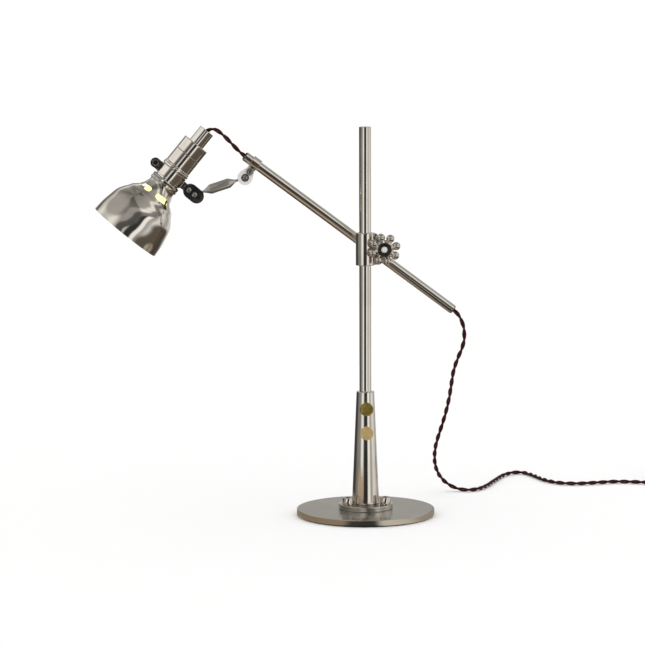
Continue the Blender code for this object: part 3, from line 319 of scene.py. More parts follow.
def braid_group() -> bpy.types.NodeTree:
    """The height and thread mask of a braided sleeve, over a map that is 1 round by turns along."""
    tree, sheet, source, result = new_group(
        "Braided sleeve", [("Threads", FLOAT, 8.0), ("Rows", FLOAT, 1.0)],
        [("Height", FLOAT), ("Thread", FLOAT), ("Fleck", FLOAT)],
    )
    place = sheet.add("ShaderNodeUVMap", uv_map="sleeve")
    parts = sheet.add("ShaderNodeSeparateXYZ", {0: place.outputs[0]})
    round_way = sheet.math("MULTIPLY", parts.outputs[0], source.outputs["Threads"])
    along = sheet.math("MULTIPLY", parts.outputs[1], source.outputs["Rows"])
    heights = []
    for sign in ("ADD", "SUBTRACT"):
        slope = sheet.math(sign, round_way, along)
        wave = sheet.math("ABSOLUTE", sheet.math("SINE", sheet.math("MULTIPLY", slope, math.pi)))
        heights.append(wave)
    over = sheet.math("MAXIMUM", heights[0], heights[1])
    under = sheet.math("MINIMUM", heights[0], heights[1])
    height = sheet.math("ADD", sheet.math("MULTIPLY", over, 0.7), sheet.math("MULTIPLY", under, 0.3))
    tree.links.new(height, result.inputs["Height"])
    tree.links.new(sheet.math("POWER", over, 2.0), result.inputs["Thread"])
    vector = sheet.add("ShaderNodeCombineXYZ", {0: round_way, 1: along})
    fleck = sheet.add("ShaderNodeTexNoise", {"Vector": vector.outputs[0], "Scale": 2.3, "Detail": 2.0})
    tree.links.new(fleck.outputs[0], result.inputs["Fleck"])
    return tree


class Effects:
    """The shared node groups, each made the first time that a finish asks for it."""

    makers: dict[str, Callable[[], bpy.types.NodeTree]] = {
        "tone": tone_group, "smudge": smudge_group, "turning": turning_group, "grain": grain_group,
        "braid": braid_group,
    }
    made: dict[str, bpy.types.NodeTree] = {}

    @classmethod
    def place(cls, sheet: NodeSheet, name: str, values: dict[str, object]) -> bpy.types.Node:
        """Places a group in a material.

        Args:
            sheet: The material's sheet.
            name: Which effect.
            values: The group's input values.

        Returns:
            The group node.
        """
        if name not in cls.made:
            cls.made[name] = cls.makers[name]()
        node = sheet.add("ShaderNodeGroup", node_tree=cls.made[name])
        for key, value in values.items():
            node.inputs[key].default_value = value
        return node


def rgba(colour: Sequence[float], gain: float = 1.0) -> tuple[float, float, float, float]:
    """A colour with its alpha, scaled."""
    return (colour[0] * gain, colour[1] * gain, colour[2] * gain, 1.0)


def start_material(name: str) -> tuple[bpy.types.Material, NodeSheet, bpy.types.Node]:
    """Starts a material.

    Args:
        name: The material's name.

    Returns:
        The material, its sheet and its Principled shader.
    """
    material = bpy.data.materials.new(name)
    material.use_nodes = True
    return material, NodeSheet(material.node_tree), material.node_tree.nodes["Principled BSDF"]


def add_bump(
    sheet: NodeSheet, shader: bpy.types.Node, height: bpy.types.NodeSocket, strength: float,
    distance: float,
) -> None:
    """Feeds a height to the shader's normal through a Bump node."""
    bump = sheet.add("ShaderNodeBump", {"Height": height, "Strength": strength, "Distance": distance})
    sheet.tree.links.new(bump.outputs[0], shader.inputs["Normal"])


@dataclass(frozen=True)
class Metal:
    """A metal finish: tone, tarnish, polish and the lines that the tool left."""

    name: str
    slot: Slot
    tone: tuple[float, float, float]
    shade: tuple[float, float, float]
    polish: Pair
    edge: tuple[float, float, float] = (0.86, 0.83, 0.78)
    cloud_scale: float = 22.0
    edge_amount: float = 0.5
    patch_scale: float = 35.0
    lines: float = 2600.0
    line_strength: float = 0.05
    metallic: float = 1.0
    coat: float = 0.0
    painted_bulb_glow: float = 0.0  # painted bulb light: emission that makes a part that is no lamp glow warm

    def build(self) -> bpy.types.Material:
        """Makes the material."""
        material, sheet, shader = start_material(self.name)
        tone = Effects.place(sheet, "tone", {
            "Tone": rgba(self.tone), "Shade": rgba(self.shade), "Edge": rgba(self.edge),
            "Cloud Scale": self.cloud_scale, "Edge Amount": self.edge_amount,
        })
        marks = Effects.place(sheet, "smudge", {
            "Low": self.polish[0], "High": self.polish[1], "Patch Scale": self.patch_scale,
        })
        turning = Effects.place(sheet, "turning", {"Lines": self.lines})
        sheet.tree.links.new(tone.outputs["Colour"], shader.inputs["Base Color"])
        sheet.tree.links.new(marks.outputs["Roughness"], shader.inputs["Roughness"])
        shader.inputs["Metallic"].default_value = self.metallic
        shader.inputs["Coat Weight"].default_value = self.coat
        shader.inputs["Coat Roughness"].default_value = 0.12
        # Painted bulb light: a warm emission on the metal, though it is no lamp.
        shader.inputs["Emission Color"].default_value = (1.0, 0.74, 0.20, 1.0)
        shader.inputs["Emission Strength"].default_value = self.painted_bulb_glow
        add_bump(sheet, shader, turning.outputs["Height"], self.line_strength, 0.00004)
        return material


@dataclass(frozen=True)
class Moulded:
    """A moulded, fired or pressed finish with a fine grain, such as rubber, ceramic or felt."""

    name: str
    slot: Slot
    tone: tuple[float, float, float]
    shade: tuple[float, float, float]
    polish: Pair
    grain_scale: float = 1400.0
    pits: float = 0.3
    bump: float = 0.2
    depth: float = 0.0001
    sheen: float = 0.0
    edge_amount: float = 0.25

    def build(self) -> bpy.types.Material:
        """Makes the material."""
        material, sheet, shader = start_material(self.name)
        tone = Effects.place(sheet, "tone", {
            "Tone": rgba(self.tone), "Shade": rgba(self.shade), "Edge": rgba(self.tone, 1.5),
            "Cloud Scale": 60.0, "Edge Amount": self.edge_amount,
        })
        marks = Effects.place(sheet, "smudge", {
            "Low": self.polish[0], "High": self.polish[1], "Patch Scale": 80.0,
        })
        grain = Effects.place(sheet, "grain", {"Grain Scale": self.grain_scale, "Pits": self.pits})
        sheet.tree.links.new(tone.outputs["Colour"], shader.inputs["Base Color"])
        sheet.tree.links.new(marks.outputs["Roughness"], shader.inputs["Roughness"])
        shader.inputs["Sheen Weight"].default_value = self.sheen
        add_bump(sheet, shader, grain.outputs["Height"], self.bump, self.depth)
        return material


@dataclass(frozen=True)
class BraidedCloth:
    """The dyed, braided sleeve of the cord's two strands."""

    name: str = "Maroon braided cotton"
    slot: Slot = Slot.CORD_CLOTH
    thread: tuple[float, float, float] = (0.060, 0.0085, 0.0085)
    # Painted shade: the dark colour between the braid's threads stands in for the shade in its recesses.
    painted_gap_shade: tuple[float, float, float] = (0.014, 0.0025, 0.0025)
    fleck: tuple[float, float, float] = (0.13, 0.028, 0.022)

    def build(self) -> bpy.types.Material:
        """Makes the material."""
        material, sheet, shader = start_material(self.name)
        braid = Effects.place(sheet, "braid", {"Threads": 8.0, "Rows": 1.0})
        tone = Effects.place(sheet, "tone", {
            "Tone": rgba(self.thread), "Shade": rgba(self.thread, 0.72), "Edge": rgba(self.thread, 1.3),
            "Cloud Scale": 90.0, "Edge Amount": 0.2,
        })
        # Threads take their dyed tone; the gaps between them take the painted shade.
        woven = sheet.add(
            "ShaderNodeMix",
            {0: braid.outputs["Thread"], 6: rgba(self.painted_gap_shade), 7: tone.outputs["Colour"]}, data_type="RGBA",
        )
        spots = sheet.add(
            "ShaderNodeMapRange", {"Value": braid.outputs["Fleck"], "From Min": 0.58, "From Max": 0.75},
        )
        flecked = sheet.add(
            "ShaderNodeMix",
            {0: spots.outputs[0], 6: woven.outputs[2], 7: rgba(self.fleck)}, data_type="RGBA",
        )
        sheet.tree.links.new(flecked.outputs[2], shader.inputs["Base Color"])
        marks = Effects.place(sheet, "smudge", {"Low": 0.62, "High": 0.85, "Patch Scale": 120.0})
        sheet.tree.links.new(marks.outputs["Roughness"], shader.inputs["Roughness"])
        shader.inputs["Specular IOR Level"].default_value = 0.12
        shader.inputs["Sheen Weight"].default_value = 0.04
        add_bump(sheet, shader, braid.outputs["Height"], 0.7, 0.00025)
        return material


@dataclass(frozen=True)
class LitGlass:
    """The frosted glass of a bulb that is on, brighter round its middle than at its neck."""

    name: str = "Frosted lit glass"
    slot: Slot = Slot.CLEAR_GLASS
    glow: tuple[float, float, float] = (1.0, 0.88, 0.24)
    strength: float = 1.25
    dim: float = 0.8

    def build(self) -> bpy.types.Material:
        """Makes the material."""
        material, sheet, shader = start_material(self.name)
        shader.inputs["Base Color"].default_value = (0.95, 0.93, 0.86, 1.0)
        marks = Effects.place(sheet, "smudge", {"Low": 0.25, "High": 0.4, "Patch Scale": 60.0})
        sheet.tree.links.new(marks.outputs["Roughness"], shader.inputs["Roughness"])
        place = sheet.add("ShaderNodeTexCoord")
        height = sheet.add("ShaderNodeSeparateXYZ", {0: place.outputs["Object"]})
        fade = sheet.add(
            "ShaderNodeMapRange",
            {"Value": height.outputs[2], "From Min": 0.050, "From Max": 0.088, "To Min": 1.0,
             "To Max": self.dim},
            interpolation_type="SMOOTHSTEP",
        )
        glow = sheet.add(
            "ShaderNodeMix",
            {0: fade.outputs[0], 6: rgba(self.glow, self.dim), 7: rgba(self.glow)}, data_type="RGBA",
        )
        sheet.tree.links.new(glow.outputs[2], shader.inputs["Emission Color"])
        shader.inputs["Emission Strength"].default_value = self.strength
        grain = Effects.place(sheet, "grain", {"Grain Scale": 900.0, "Pits": 0.1})
        add_bump(sheet, shader, grain.outputs["Height"], 0.1, 0.0001)
        return material


NICKEL = Metal(
    "Polished nickel", Slot.POLISHED_NICKEL, (0.80, 0.765, 0.71), (0.70, 0.66, 0.60), (0.045, 0.11),
)
# Painted highlight: a near-white colour with only 0.35 metallic gives a diffuse brightness that stands in for
# bright reflections on the knuckle plates and the knob's cap.
PLATE_NICKEL = Metal(
    "Satin nickel plate, painted highlight", Slot.POLISHED_NICKEL, (0.93, 0.92, 0.90), (0.86, 0.85, 0.83),
    (0.36, 0.48), line_strength=0.15, metallic=0.35,
)
LINK_STEEL = Metal(
    "Brushed link steel", Slot.POLISHED_NICKEL, (0.70, 0.68, 0.64), (0.60, 0.58, 0.54), (0.26, 0.36),
    line_strength=0.12,
)
WARM_NICKEL = Metal(
    "Polished nickel, handled", Slot.POLISHED_NICKEL, (0.80, 0.74, 0.66), (0.70, 0.63, 0.54),
    (0.07, 0.16), patch_scale=60.0, line_strength=0.08,
)
SATIN_NICKEL = Metal(
    "Satin nickel", Slot.SATIN_NICKEL, (0.66, 0.63, 0.565), (0.60, 0.565, 0.50), (0.15, 0.24),
    cloud_scale=9.0, patch_scale=14.0, lines=1800.0, line_strength=0.10,
)
# The lining's warm tint and its emission are painted bulb light, standing in for the lit bulb's light on the
# inside of the shade.
SHADE_INSIDE = Metal(
    "Shade lining, brushed, painted bulb glow", Slot.SATIN_NICKEL, (0.82, 0.72, 0.55), (0.74, 0.64, 0.47), (0.30, 0.45),
    lines=1500.0, line_strength=0.2, painted_bulb_glow=0.75,
)
STEEL = Metal(
    "Bright steel", Slot.STEEL, (0.62, 0.61, 0.59), (0.50, 0.49, 0.47), (0.16, 0.30),
    lines=3200.0, line_strength=0.15,
)
SPRING_STEEL = Metal(
    "Spring steel", Slot.STEEL, (0.45, 0.44, 0.43), (0.36, 0.35, 0.34), (0.22, 0.38), lines=5000.0,
)
# Metallic 0.85 leaves some diffuse colour that is painted highlight: it lifts the lower button brighter than
# its reflections make it.
BRIGHT_BRASS = Metal(
    "Bright brass", Slot.BRASS, (0.98, 0.77, 0.38), (0.88, 0.66, 0.29), (0.38, 0.52),
    edge=(1.0, 0.88, 0.60), cloud_scale=140.0, lines=2200.0, line_strength=0.12, metallic=0.85,
)
# Painted shade: a darker, olive copy of the brass for the upper button, standing in for the shade it sits in.
SHADED_BRASS = Metal(
    "Brass, painted shade", Slot.BRASS, (0.56, 0.44, 0.12), (0.38, 0.29, 0.07), (0.26, 0.40),
    edge=(0.80, 0.62, 0.30), cloud_scale=160.0, lines=2200.0, line_strength=0.12,
)
BLACKED_STEEL = Metal(
    "Blacked steel", Slot.BLACK_METAL, (0.030, 0.029, 0.028), (0.016, 0.016, 0.016), (0.20, 0.34),
    edge=(0.20, 0.19, 0.18), edge_amount=0.35, metallic=0.5, coat=0.3, lines=2000.0,
)
DARK_INLAY = Metal(
    "Dark turned inlay", Slot.BLACK_METAL, (0.060, 0.052, 0.042), (0.030, 0.026, 0.022), (0.18, 0.3),
    edge=(0.25, 0.22, 0.18), metallic=0.8, lines=2600.0, line_strength=0.2,
)
FELT = Moulded(
    "Green-black felt", Slot.FELT, (0.035, 0.050, 0.036), (0.022, 0.032, 0.024), (0.85, 0.98),
    grain_scale=2400.0, pits=0.8, bump=0.8, depth=0.0004, sheen=0.5,
)
NYLON = Moulded("Natural nylon", Slot.NYLON, (0.78, 0.76, 0.70), (0.70, 0.68, 0.60), (0.35, 0.5))
RUBBER = Moulded(
    "Black rubber", Slot.RUBBER, (0.028, 0.026, 0.025), (0.018, 0.017, 0.016), (0.55, 0.75), bump=0.3,
)
CERAMIC = Moulded(
    "Glazed ceramic", Slot.CERAMIC, (0.86, 0.84, 0.79), (0.80, 0.77, 0.71), (0.10, 0.2), bump=0.06,
)
MOUNT_GLASS = Moulded(
    "Pressed glass mount", Slot.CLEAR_GLASS, (0.9, 0.9, 0.86), (0.8, 0.8, 0.76), (0.05, 0.12), bump=0.05,
)
PLUG_PLASTIC = Moulded(
    "Brown moulded plastic", Slot.PLUG_PLASTIC, (0.045, 0.020, 0.017), (0.030, 0.014, 0.012),
    (0.28, 0.42), bump=0.12,
)
CLOTH = BraidedCloth()
BULB_GLASS = LitGlass()
Finish = Metal | Moulded | BraidedCloth | LitGlass


# Mesh work --------------------------------------------------------------------------------------

def rounded(profile: Sequence[tuple[float, ...]], closed: bool = False, arcs: int = 4) -> list[Pair]:
    """Rounds the corners of a profile, with a point on each side to keep long walls straight.

    Args:
        profile: Points as (radius, height), with a third number where the corner is rounded.
        closed: True where the last point joins the first.
        arcs: Steps in each rounded corner.

    Returns:
        The profile's points with their corners rounded.
    """
    points: list[Pair] = []
    count = len(profile)
    for index, point in enumerate(profile):
        here = Vector(point[:2])
        fillet = point[2] if len(point) > 2 else 0.0
        at_end = not closed and index in (0, count - 1)
        if fillet <= 0 or at_end:
            points.append((here.x, here.y))
            continue
        before = Vector(profile[index - 1][:2]) - here
        after = Vector(profile[(index + 1) % count][:2]) - here
        start, end = here + before.normalized() * fillet, here + after.normalized() * fillet
        if before.length > fillet * 2 + 1.6:
            beside = here + before.normalized() * (fillet + 0.3)
            points.append((beside.x, beside.y))
        for step in range(arcs + 1):
            share = step / arcs
            bend = start.lerp(here, share).lerp(here.lerp(end, share), share)
            points.append((bend.x, bend.y))
        if after.length > fillet * 2 + 1.6:
            beside = here + after.normalized() * (fillet + 0.3)
            points.append((beside.x, beside.y))
    return points


def round_radius(_angle: float, radius: float) -> float:
    """The same radius all round."""
    return radius


def hex_radius(angle: float, radius: float) -> float:
    """The radius of a hexagon with slightly eased corners, at an angle, for a corner radius."""
    local = (angle + math.pi / 6) % (math.pi / 3) - math.pi / 6
    return min(radius * 0.975, radius * math.cos(math.pi / 6) / math.cos(math.pi / 6 - abs(local)))


def ring(
    radius: float, height: float, steps: int, shape: Callable[[float, float], float] = round_radius,
) -> Ring:
    """One closed ring of points about the Z axis.

    Args:
        radius: The ring's radius, in millimetres.
        height: Its height, in millimetres.
        steps: How many points it has.
        shape: Gives the radius at an angle.

    Returns:
        The points, in metres.
    """
    points = []
    for index in range(steps):
        angle = 2 * math.pi * index / steps
        reach = shape(angle, radius) * MM
        points.append(Vector((reach * math.cos(angle), reach * math.sin(angle), height * MM)))
    return points


def smooth(mesh: bpy.types.Mesh, angle: float = 32.0) -> None:
    """Smooth shading that stays sharp at real edges and flat on faces square to the Z axis.

    Args:
        mesh: The mesh.
        angle: Edges sharper than this stay sharp, in degrees.
    """
    mesh.shade_smooth()
    for face in mesh.polygons:
        face.use_smooth = abs(face.normal.z) < 0.9999
    mesh.set_sharp_from_angle(angle=math.radians(angle))


def make_object(name: str, work: bmesh.types.BMesh, axes: Matrix, angle: float = 32.0) -> bpy.types.Object:
    """Turns a finished bmesh into an object in the scene.

    Args:
        name: The piece's name.
        work: The mesh under work, which is freed.
        axes: Where the piece's own axes lie.
        angle: Edges sharper than this stay sharp.

    Returns:
        The new object.
    """
    bmesh.ops.remove_doubles(work, verts=work.verts, dist=1e-7)
    bmesh.ops.recalc_face_normals(work, faces=work.faces)
    mesh = bpy.data.meshes.new(name)
    work.to_mesh(mesh)
    work.free()
    smooth(mesh, angle)
    obj = bpy.data.objects.new(name, mesh)
    bpy.context.scene.collection.objects.link(obj)
    obj.matrix_world = axes
    return obj


def loft(
    name: str, rings: Sequence[Ring], axes: Matrix, join_ends: bool = False, angle: float = 32.0,
) -> bpy.types.Object:
    """A skin over rings of the same number of points.

    Args:
        name: The piece's name.
        rings: The rings, in order.
        axes: The piece's own axes.
        join_ends: True to join the last ring to the first, as round a hollow ring; otherwise
            both ends are closed with a flat face.
        angle: Edges sharper than this stay sharp.

    Returns:
        The new object.
    """
    work = bmesh.new()
    rows = [[work.verts.new(point) for point in points] for points in rings]
    pairs = list(zip(rows, rows[1:]))
    if join_ends:
        pairs.append((rows[-1], rows[0]))
    for low, high in pairs:
        for index in range(len(low)):
            after = (index + 1) % len(low)
            work.faces.new((low[index], low[after], high[after], high[index]))
    if not join_ends:
        work.faces.new(rows[0][::-1])
        work.faces.new(rows[-1])
    return make_object(name, work, axes, angle)


def lathe(
    name: str, profile: Sequence[tuple[float, ...]], axes: Matrix, steps: int = 64,
    opening: tuple[float, float] | None = None, arcs: int = 4,
) -> bpy.types.Object:
    """A turned piece about its own Z axis.

    Args:
        name: The piece's name.
        profile: (radius, height) pairs, with a third number to round a corner. It starts and
            ends on the axis, or closes on itself.
        axes: The piece's own axes.
        steps: Facets round the piece.
        opening: The middle and the half width, in degrees, of a gap cut along the whole piece.
        arcs: Steps in each rounded corner.

    Returns:
        The new object.
    """
    closed = profile[0][0] > 0
    points = rounded(profile, closed, arcs)
    if opening is None and closed:
        return loft(name, [ring(r, z, steps) for r, z in points], axes, join_ends=True)
    work = bmesh.new()
    middle, half = opening or (0.0, 0.0)
    start = math.radians(middle + half)
    sweep = 2 * math.pi - 2 * math.radians(half)
    columns = steps + 1 if opening else steps
    rows = []
    for radius, height in points:
        if radius <= 1e-9:
            rows.append([work.verts.new((0.0, 0.0, height * MM))] * columns)
            continue
        row = []
        for index in range(columns):
            angle = start + sweep * index / steps
            row.append(work.verts.new((
                radius * MM * math.cos(angle), radius * MM * math.sin(angle), height * MM,
            )))
        rows.append(row)
    pairs = list(zip(rows, rows[1:]))
    if closed:
        pairs.append((rows[-1], rows[0]))
    for low, high in pairs:
        for index in range(columns - 1 if opening else columns):
            after = (index + 1) % columns
            corners = []
            for vert in (low[index], low[after], high[after], high[index]):
                if vert not in corners:
                    corners.append(vert)
            if len(corners) > 2:
                work.faces.new(corners)
    if opening:
        work.faces.new([row[0] for row in rows])
        work.faces.new([row[-1] for row in rows][::-1])
    return make_object(name, work, axes)


def circle(radius: float, centre: Pair = (0.0, 0.0), steps: int = 40) -> list[Pair]:
    """Points of a circle in a plane.

    Args:
        radius: The radius.
        centre: The circle's centre.
        steps: How many points it has.

    Returns:
        The points, in order.
    """
    return [
        (centre[0] + radius * math.cos(2 * math.pi * i / steps),
         centre[1] + radius * math.sin(2 * math.pi * i / steps))
        for i in range(steps)
    ]


def round_two(first: Pair, first_r: float, second: Pair, second_r: float, steps: int = 26) -> list[Pair]:
    """The outline round two circles, such as an oval plate or an ear.

    Args:
        first: The first circle's centre.
        first_r: Its radius.
        second: The second circle's centre.
        second_r: Its radius.
        steps: Steps in each arc.

    Returns:
        The outline's points.
    """
    line = Vector((second[0] - first[0], second[1] - first[1]))
    heading = math.atan2(line.y, line.x)
    lean = math.acos(max(-1.0, min(1.0, (first_r - second_r) / line.length)))
    points = []
    for centre, radius, start, sweep in (
        (first, first_r, heading + lean, 2 * math.pi - 2 * lean),
        (second, second_r, heading - lean, 2 * lean),
    ):
        for i in range(steps + 1):
            angle = start + sweep * i / steps
            points.append((centre[0] + radius * math.cos(angle), centre[1] + radius * math.sin(angle)))
    return points


def plate(
    name: str, outlines: Sequence[Sequence[Pair]], low: float, high: float, axes: Matrix,
    bevel: float = 0.35,
) -> bpy.types.Object:
    """A flat piece with rounded rims, cut from outlines in its own XY plane.

    Args:
        name: The piece's name.
        outlines: The edge first, and then the holes.
        low: The lower face's height.
        high: The upper face's height.
        axes: The piece's own axes.
        bevel: The radius of the rims.

    Returns:
        The new object.
    """
    curve = bpy.data.curves.new(name, "CURVE")
    curve.dimensions = "2D"
    curve.fill_mode = "BOTH"
    curve.extrude = ((high - low) / 2 - bevel) * MM
    curve.bevel_depth = bevel * MM
    curve.bevel_resolution = 2
    curve.offset = -bevel * MM
    for outline in outlines:
        spline = curve.splines.new("POLY")
        spline.points.add(len(outline) - 1)
        for point, (x, y) in zip(spline.points, outline):
            point.co = (x * MM, y * MM, 0.0, 1.0)
        spline.use_cyclic_u = True
    source = bpy.data.objects.new(name + "_outline", curve)
    bpy.context.scene.collection.objects.link(source)
    bpy.context.view_layer.update()
    graph = bpy.context.evaluated_depsgraph_get()
    mesh = bpy.data.meshes.new_from_object(source.evaluated_get(graph))
    bpy.data.objects.remove(source, do_unlink=True)
    work = bmesh.new()
    work.from_mesh(mesh)
    bpy.data.meshes.remove(mesh)
    bmesh.ops.remove_doubles(work, verts=work.verts, dist=2e-6)
    bmesh.ops.translate(work, verts=work.verts, vec=(0.0, 0.0, (high + low) / 2 * MM))
    return make_object(name, work, axes, 40.0)


def merge(name: str, parts: Sequence[bpy.types.Object], axes: Matrix) -> bpy.types.Object:
    """Gathers several objects into one mesh and removes the originals.

    Args:
        name: The new piece's name.
        parts: The objects.
        axes: The new piece's own axes.

    Returns:
        The new object.
    """
    work = bmesh.new()
    for part in parts:
        part.data.transform(axes.inverted() @ part.matrix_world)
        work.from_mesh(part.data)
        bpy.data.objects.remove(part, do_unlink=True)
    mesh = bpy.data.meshes.new(name)
    work.to_mesh(mesh)
    work.free()
    obj = bpy.data.objects.new(name, mesh)
    bpy.context.scene.collection.objects.link(obj)
    obj.matrix_world = axes
    return obj


def carve(obj: bpy.types.Object, tools: Sequence[bpy.types.Object]) -> bpy.types.Object:
    """Cuts tools out of an object with exact Booleans and removes the tools.

    Args:
        obj: The object that is cut.
        tools: The objects that are cut out of it.

    Returns:
        The same object.
    """
    bpy.context.view_layer.update()
    for tool in tools:
        change = obj.modifiers.new(tool.name, "BOOLEAN")
        change.operation = "DIFFERENCE"
        change.solver = "EXACT"
        change.object = tool
    bpy.context.view_layer.update()
    graph = bpy.context.evaluated_depsgraph_get()
    mesh = bpy.data.meshes.new_from_object(obj.evaluated_get(graph))
    obj.modifiers.clear()
    obj.data = mesh
    for tool in tools:
        bpy.data.objects.remove(tool, do_unlink=True)
    smooth(mesh)
    return obj


def block(name: str, low: Sequence[float], high: Sequence[float], axes: Matrix) -> bpy.types.Object:
    """A rectangular cutter between two corners.

    Args:
        name: The cutter's name.
        low: Its lowest corner, in millimetres.
        high: Its highest corner, in millimetres.
        axes: Its own axes.

    Returns:
        The cutter.
    """
    outline = [(low[0], low[1]), (high[0], low[1]), (high[0], high[1]), (low[0], high[1])]
    rings = [[Vector((x * MM, y * MM, z * MM)) for x, y in outline] for z in (low[2], high[2])]
    return loft(name, rings, axes)


def cutter_rod(name: str, radius: float, low: float, high: float, axes: Matrix) -> bpy.types.Object:
    """A round cutter along its own Z axis."""
    return loft(name, [ring(radius, low, 48), ring(radius, high, 48)], axes)


def spline_points(knots: Sequence[Sequence[float]], spacing: float) -> list[Vector]:
    """Evenly spaced points on the smooth curve through knots.

    Args:
        knots: The knots, in millimetres.
        spacing: The distance between points, in metres.

    Returns:
        The points, in metres.
    """
    marks = [Vector(knot) * MM for knot in knots]
    marks = [2 * marks[0] - marks[1]] + marks + [2 * marks[-1] - marks[-2]]
    fine: list[Vector] = []
    for a, b, c, d in zip(marks, marks[1:], marks[2:], marks[3:]):
        for i in range(24):
            f = i / 24
            fine.append(0.5 * (
                2 * b + (c - a) * f + (2 * a - 5 * b + 4 * c - d) * f * f
                + (3 * b - a - 3 * c + d) * f ** 3
            ))
    fine.append(marks[-2])
    lengths = [0.0]
    for a, b in zip(fine, fine[1:]):
        lengths.append(lengths[-1] + (b - a).length)
    count = max(2, round(lengths[-1] / spacing) + 1)
    points, index = [], 0
    for i in range(count):
        target = lengths[-1] * i / (count - 1)
        while index < len(lengths) - 2 and lengths[index + 1] < target:
            index += 1
        span = lengths[index + 1] - lengths[index]
        points.append(fine[index].lerp(fine[index + 1], (target - lengths[index]) / span if span else 0.0))
    return points


def carried_frames(points: Sequence[Vector]) -> list[tuple[Vector, Vector]]:
    """Two cross directions at each point of a path, carried along it without twist.

    Args:
        points: The path.

    Returns:
        The two directions at each point.
    """
    frames = []
    side = None
    for index in range(len(points)):
        along = (points[min(index + 1, len(points) - 1)] - points[max(index - 1, 0)]).normalized()
        if side is None:
            side = along.cross(Vector((0.0, 1.0, 0.0) if abs(along.y) < 0.9 else (0.0, 0.0, 1.0)))
        side = (side - along * side.dot(along)).normalized()
        frames.append((side.copy(), along.cross(side)))
    return frames


def tube_rows(
    points: Sequence[Vector], radius: float, sides: int, lead: Callable[[int], float] | None = None,
    offset: float = 0.0,
) -> list[Ring]:
    """Rings of a tube along a path, or of a strand that winds round it.

    Args:
        points: The path, in metres.
        radius: The tube's radius, in metres.
        sides: Points in each ring.
        lead: The winding angle at a point's index, for a strand.
        offset: The strand's distance from the path, in metres.

    Returns:
        The rings.
    """
    frames = carried_frames(points)
    centres = []
    for index, point in enumerate(points):
        across, up = frames[index]
        angle = lead(index) if lead else 0.0
        centres.append(point + (across * math.cos(angle) + up * math.sin(angle)) * offset)
    rows = []
    for centre, (across, up) in zip(centres, carried_frames(centres)):
        rows.append([
            centre + (across * math.cos(2 * math.pi * i / sides) + up * math.sin(2 * math.pi * i / sides))
            * radius
            for i in range(sides)
        ])
    return rows


# Shop -------------------------------------------------------------------------------------------

@dataclass
class Shop:
    """Fits pieces to the frame: finish, body and the CAD nodes that a piece stands for."""

    frame: dict
    dressed: dict[str, bpy.types.Material] = field(default_factory=dict)
    count: int = 0

    def material(self, finish: Finish) -> bpy.types.Material:
        """The material of a finish, made once.

        Args:
            finish: The finish.

        Returns:
            The material.
        """
        if finish.name not in self.dressed:
            self.dressed[finish.name] = finish.build()
        return self.dressed[finish.name]

    def fit(
        self, piece: bpy.types.Object, body: str, finish: Finish, stands_for: Iterable[str] = (),
    ) -> bpy.types.Object:
        """Finishes a piece and lets it ride on a body.

        Args:
            piece: The piece.
            body: The body that it moves with.
            finish: Its finish.
            stands_for: The CAD nodes that it replaces.

        Returns:
            The piece.
        """
        self.paint(piece, finish)
        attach(piece, body)
        nodes = list(stands_for)
        if nodes:
            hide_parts(*nodes)
        return piece

    def paint(self, piece: bpy.types.Object, *finishes: Finish) -> None:
        """Gives a piece its materials.

        Args:
            piece: The piece.
            *finishes: Its finishes, in the order of its material slots.
        """
        piece.data.materials.clear()
        for finish in finishes:
            piece.data.materials.append(self.material(finish))
        self.count += 1
        LOG.info("%s: %s", piece.name, finishes[0].name)

    def dress(self, finish: Finish, *nodes: str) -> None:
        """Gives CAD nodes that stay in view a finish.

        Args:
            finish: The finish.
            *nodes: The names of the nodes.
        """
        for node in nodes:
            mesh = self.frame["nodes"][node].data
            mesh.materials.clear()
            mesh.materials.append(self.material(finish))
            LOG.info("%s: %s", node, finish.name)


def socket_screw(
    name: str, shank: Pair, head: tuple[float, float, float], socket: Pair, axes: Matrix,
    hexagonal: bool = False, tail: tuple[float, float] | None = None,
) -> bpy.types.Object:
    """A screw with a hexagonal socket in its head.

    Args:
        name: The piece's name.
        shank: The shank's radius and where it starts.
        head: The head's radius, its underside and its top.
        socket: The socket's corner radius and depth.
        axes: The screw's own axes, with the head at +Z.
        hexagonal: True for a hexagonal head.
        tail: The radius and thickness of a round nut at the shank's start.

    Returns:
        The new object.
    """
    steps = 48
    radius, low, high = head
    shape = hex_radius if hexagonal else round_radius
    rows: list[Ring] = []
    if tail:
        rows += [ring(tail[0] - 0.5, shank[1] - tail[1], steps, shape),
                 ring(tail[0], shank[1] - tail[1] + 0.5, steps, shape),
                 ring(tail[0], shank[1], steps, shape)]
    dome = 0.8
    rows += [ring(shank[0], shank[1], steps), ring(shank[0], low, steps),
             ring(radius - 0.2, low, steps, shape), ring(radius, low + 0.25, steps, shape),
             ring(radius, high - dome, steps, shape)]
    for share in (0.35, 0.7, 1.0):
        drop = dome * (1 - math.sin(share * math.pi / 2))
        rows.append(ring(radius - dome * (1 - math.cos(share * math.pi / 2)), high - drop, steps, shape))
    rows += [ring(socket[0] + 0.5, high, steps), ring(socket[0] + 0.1, high - 0.35, steps),
             ring(socket[0], high - 0.4, steps, hex_radius),
             ring(socket[0], high - socket[1], steps, hex_radius)]
    return loft(name, rows, axes)


# Sub-assemblies ---------------------------------------------------------------------------------

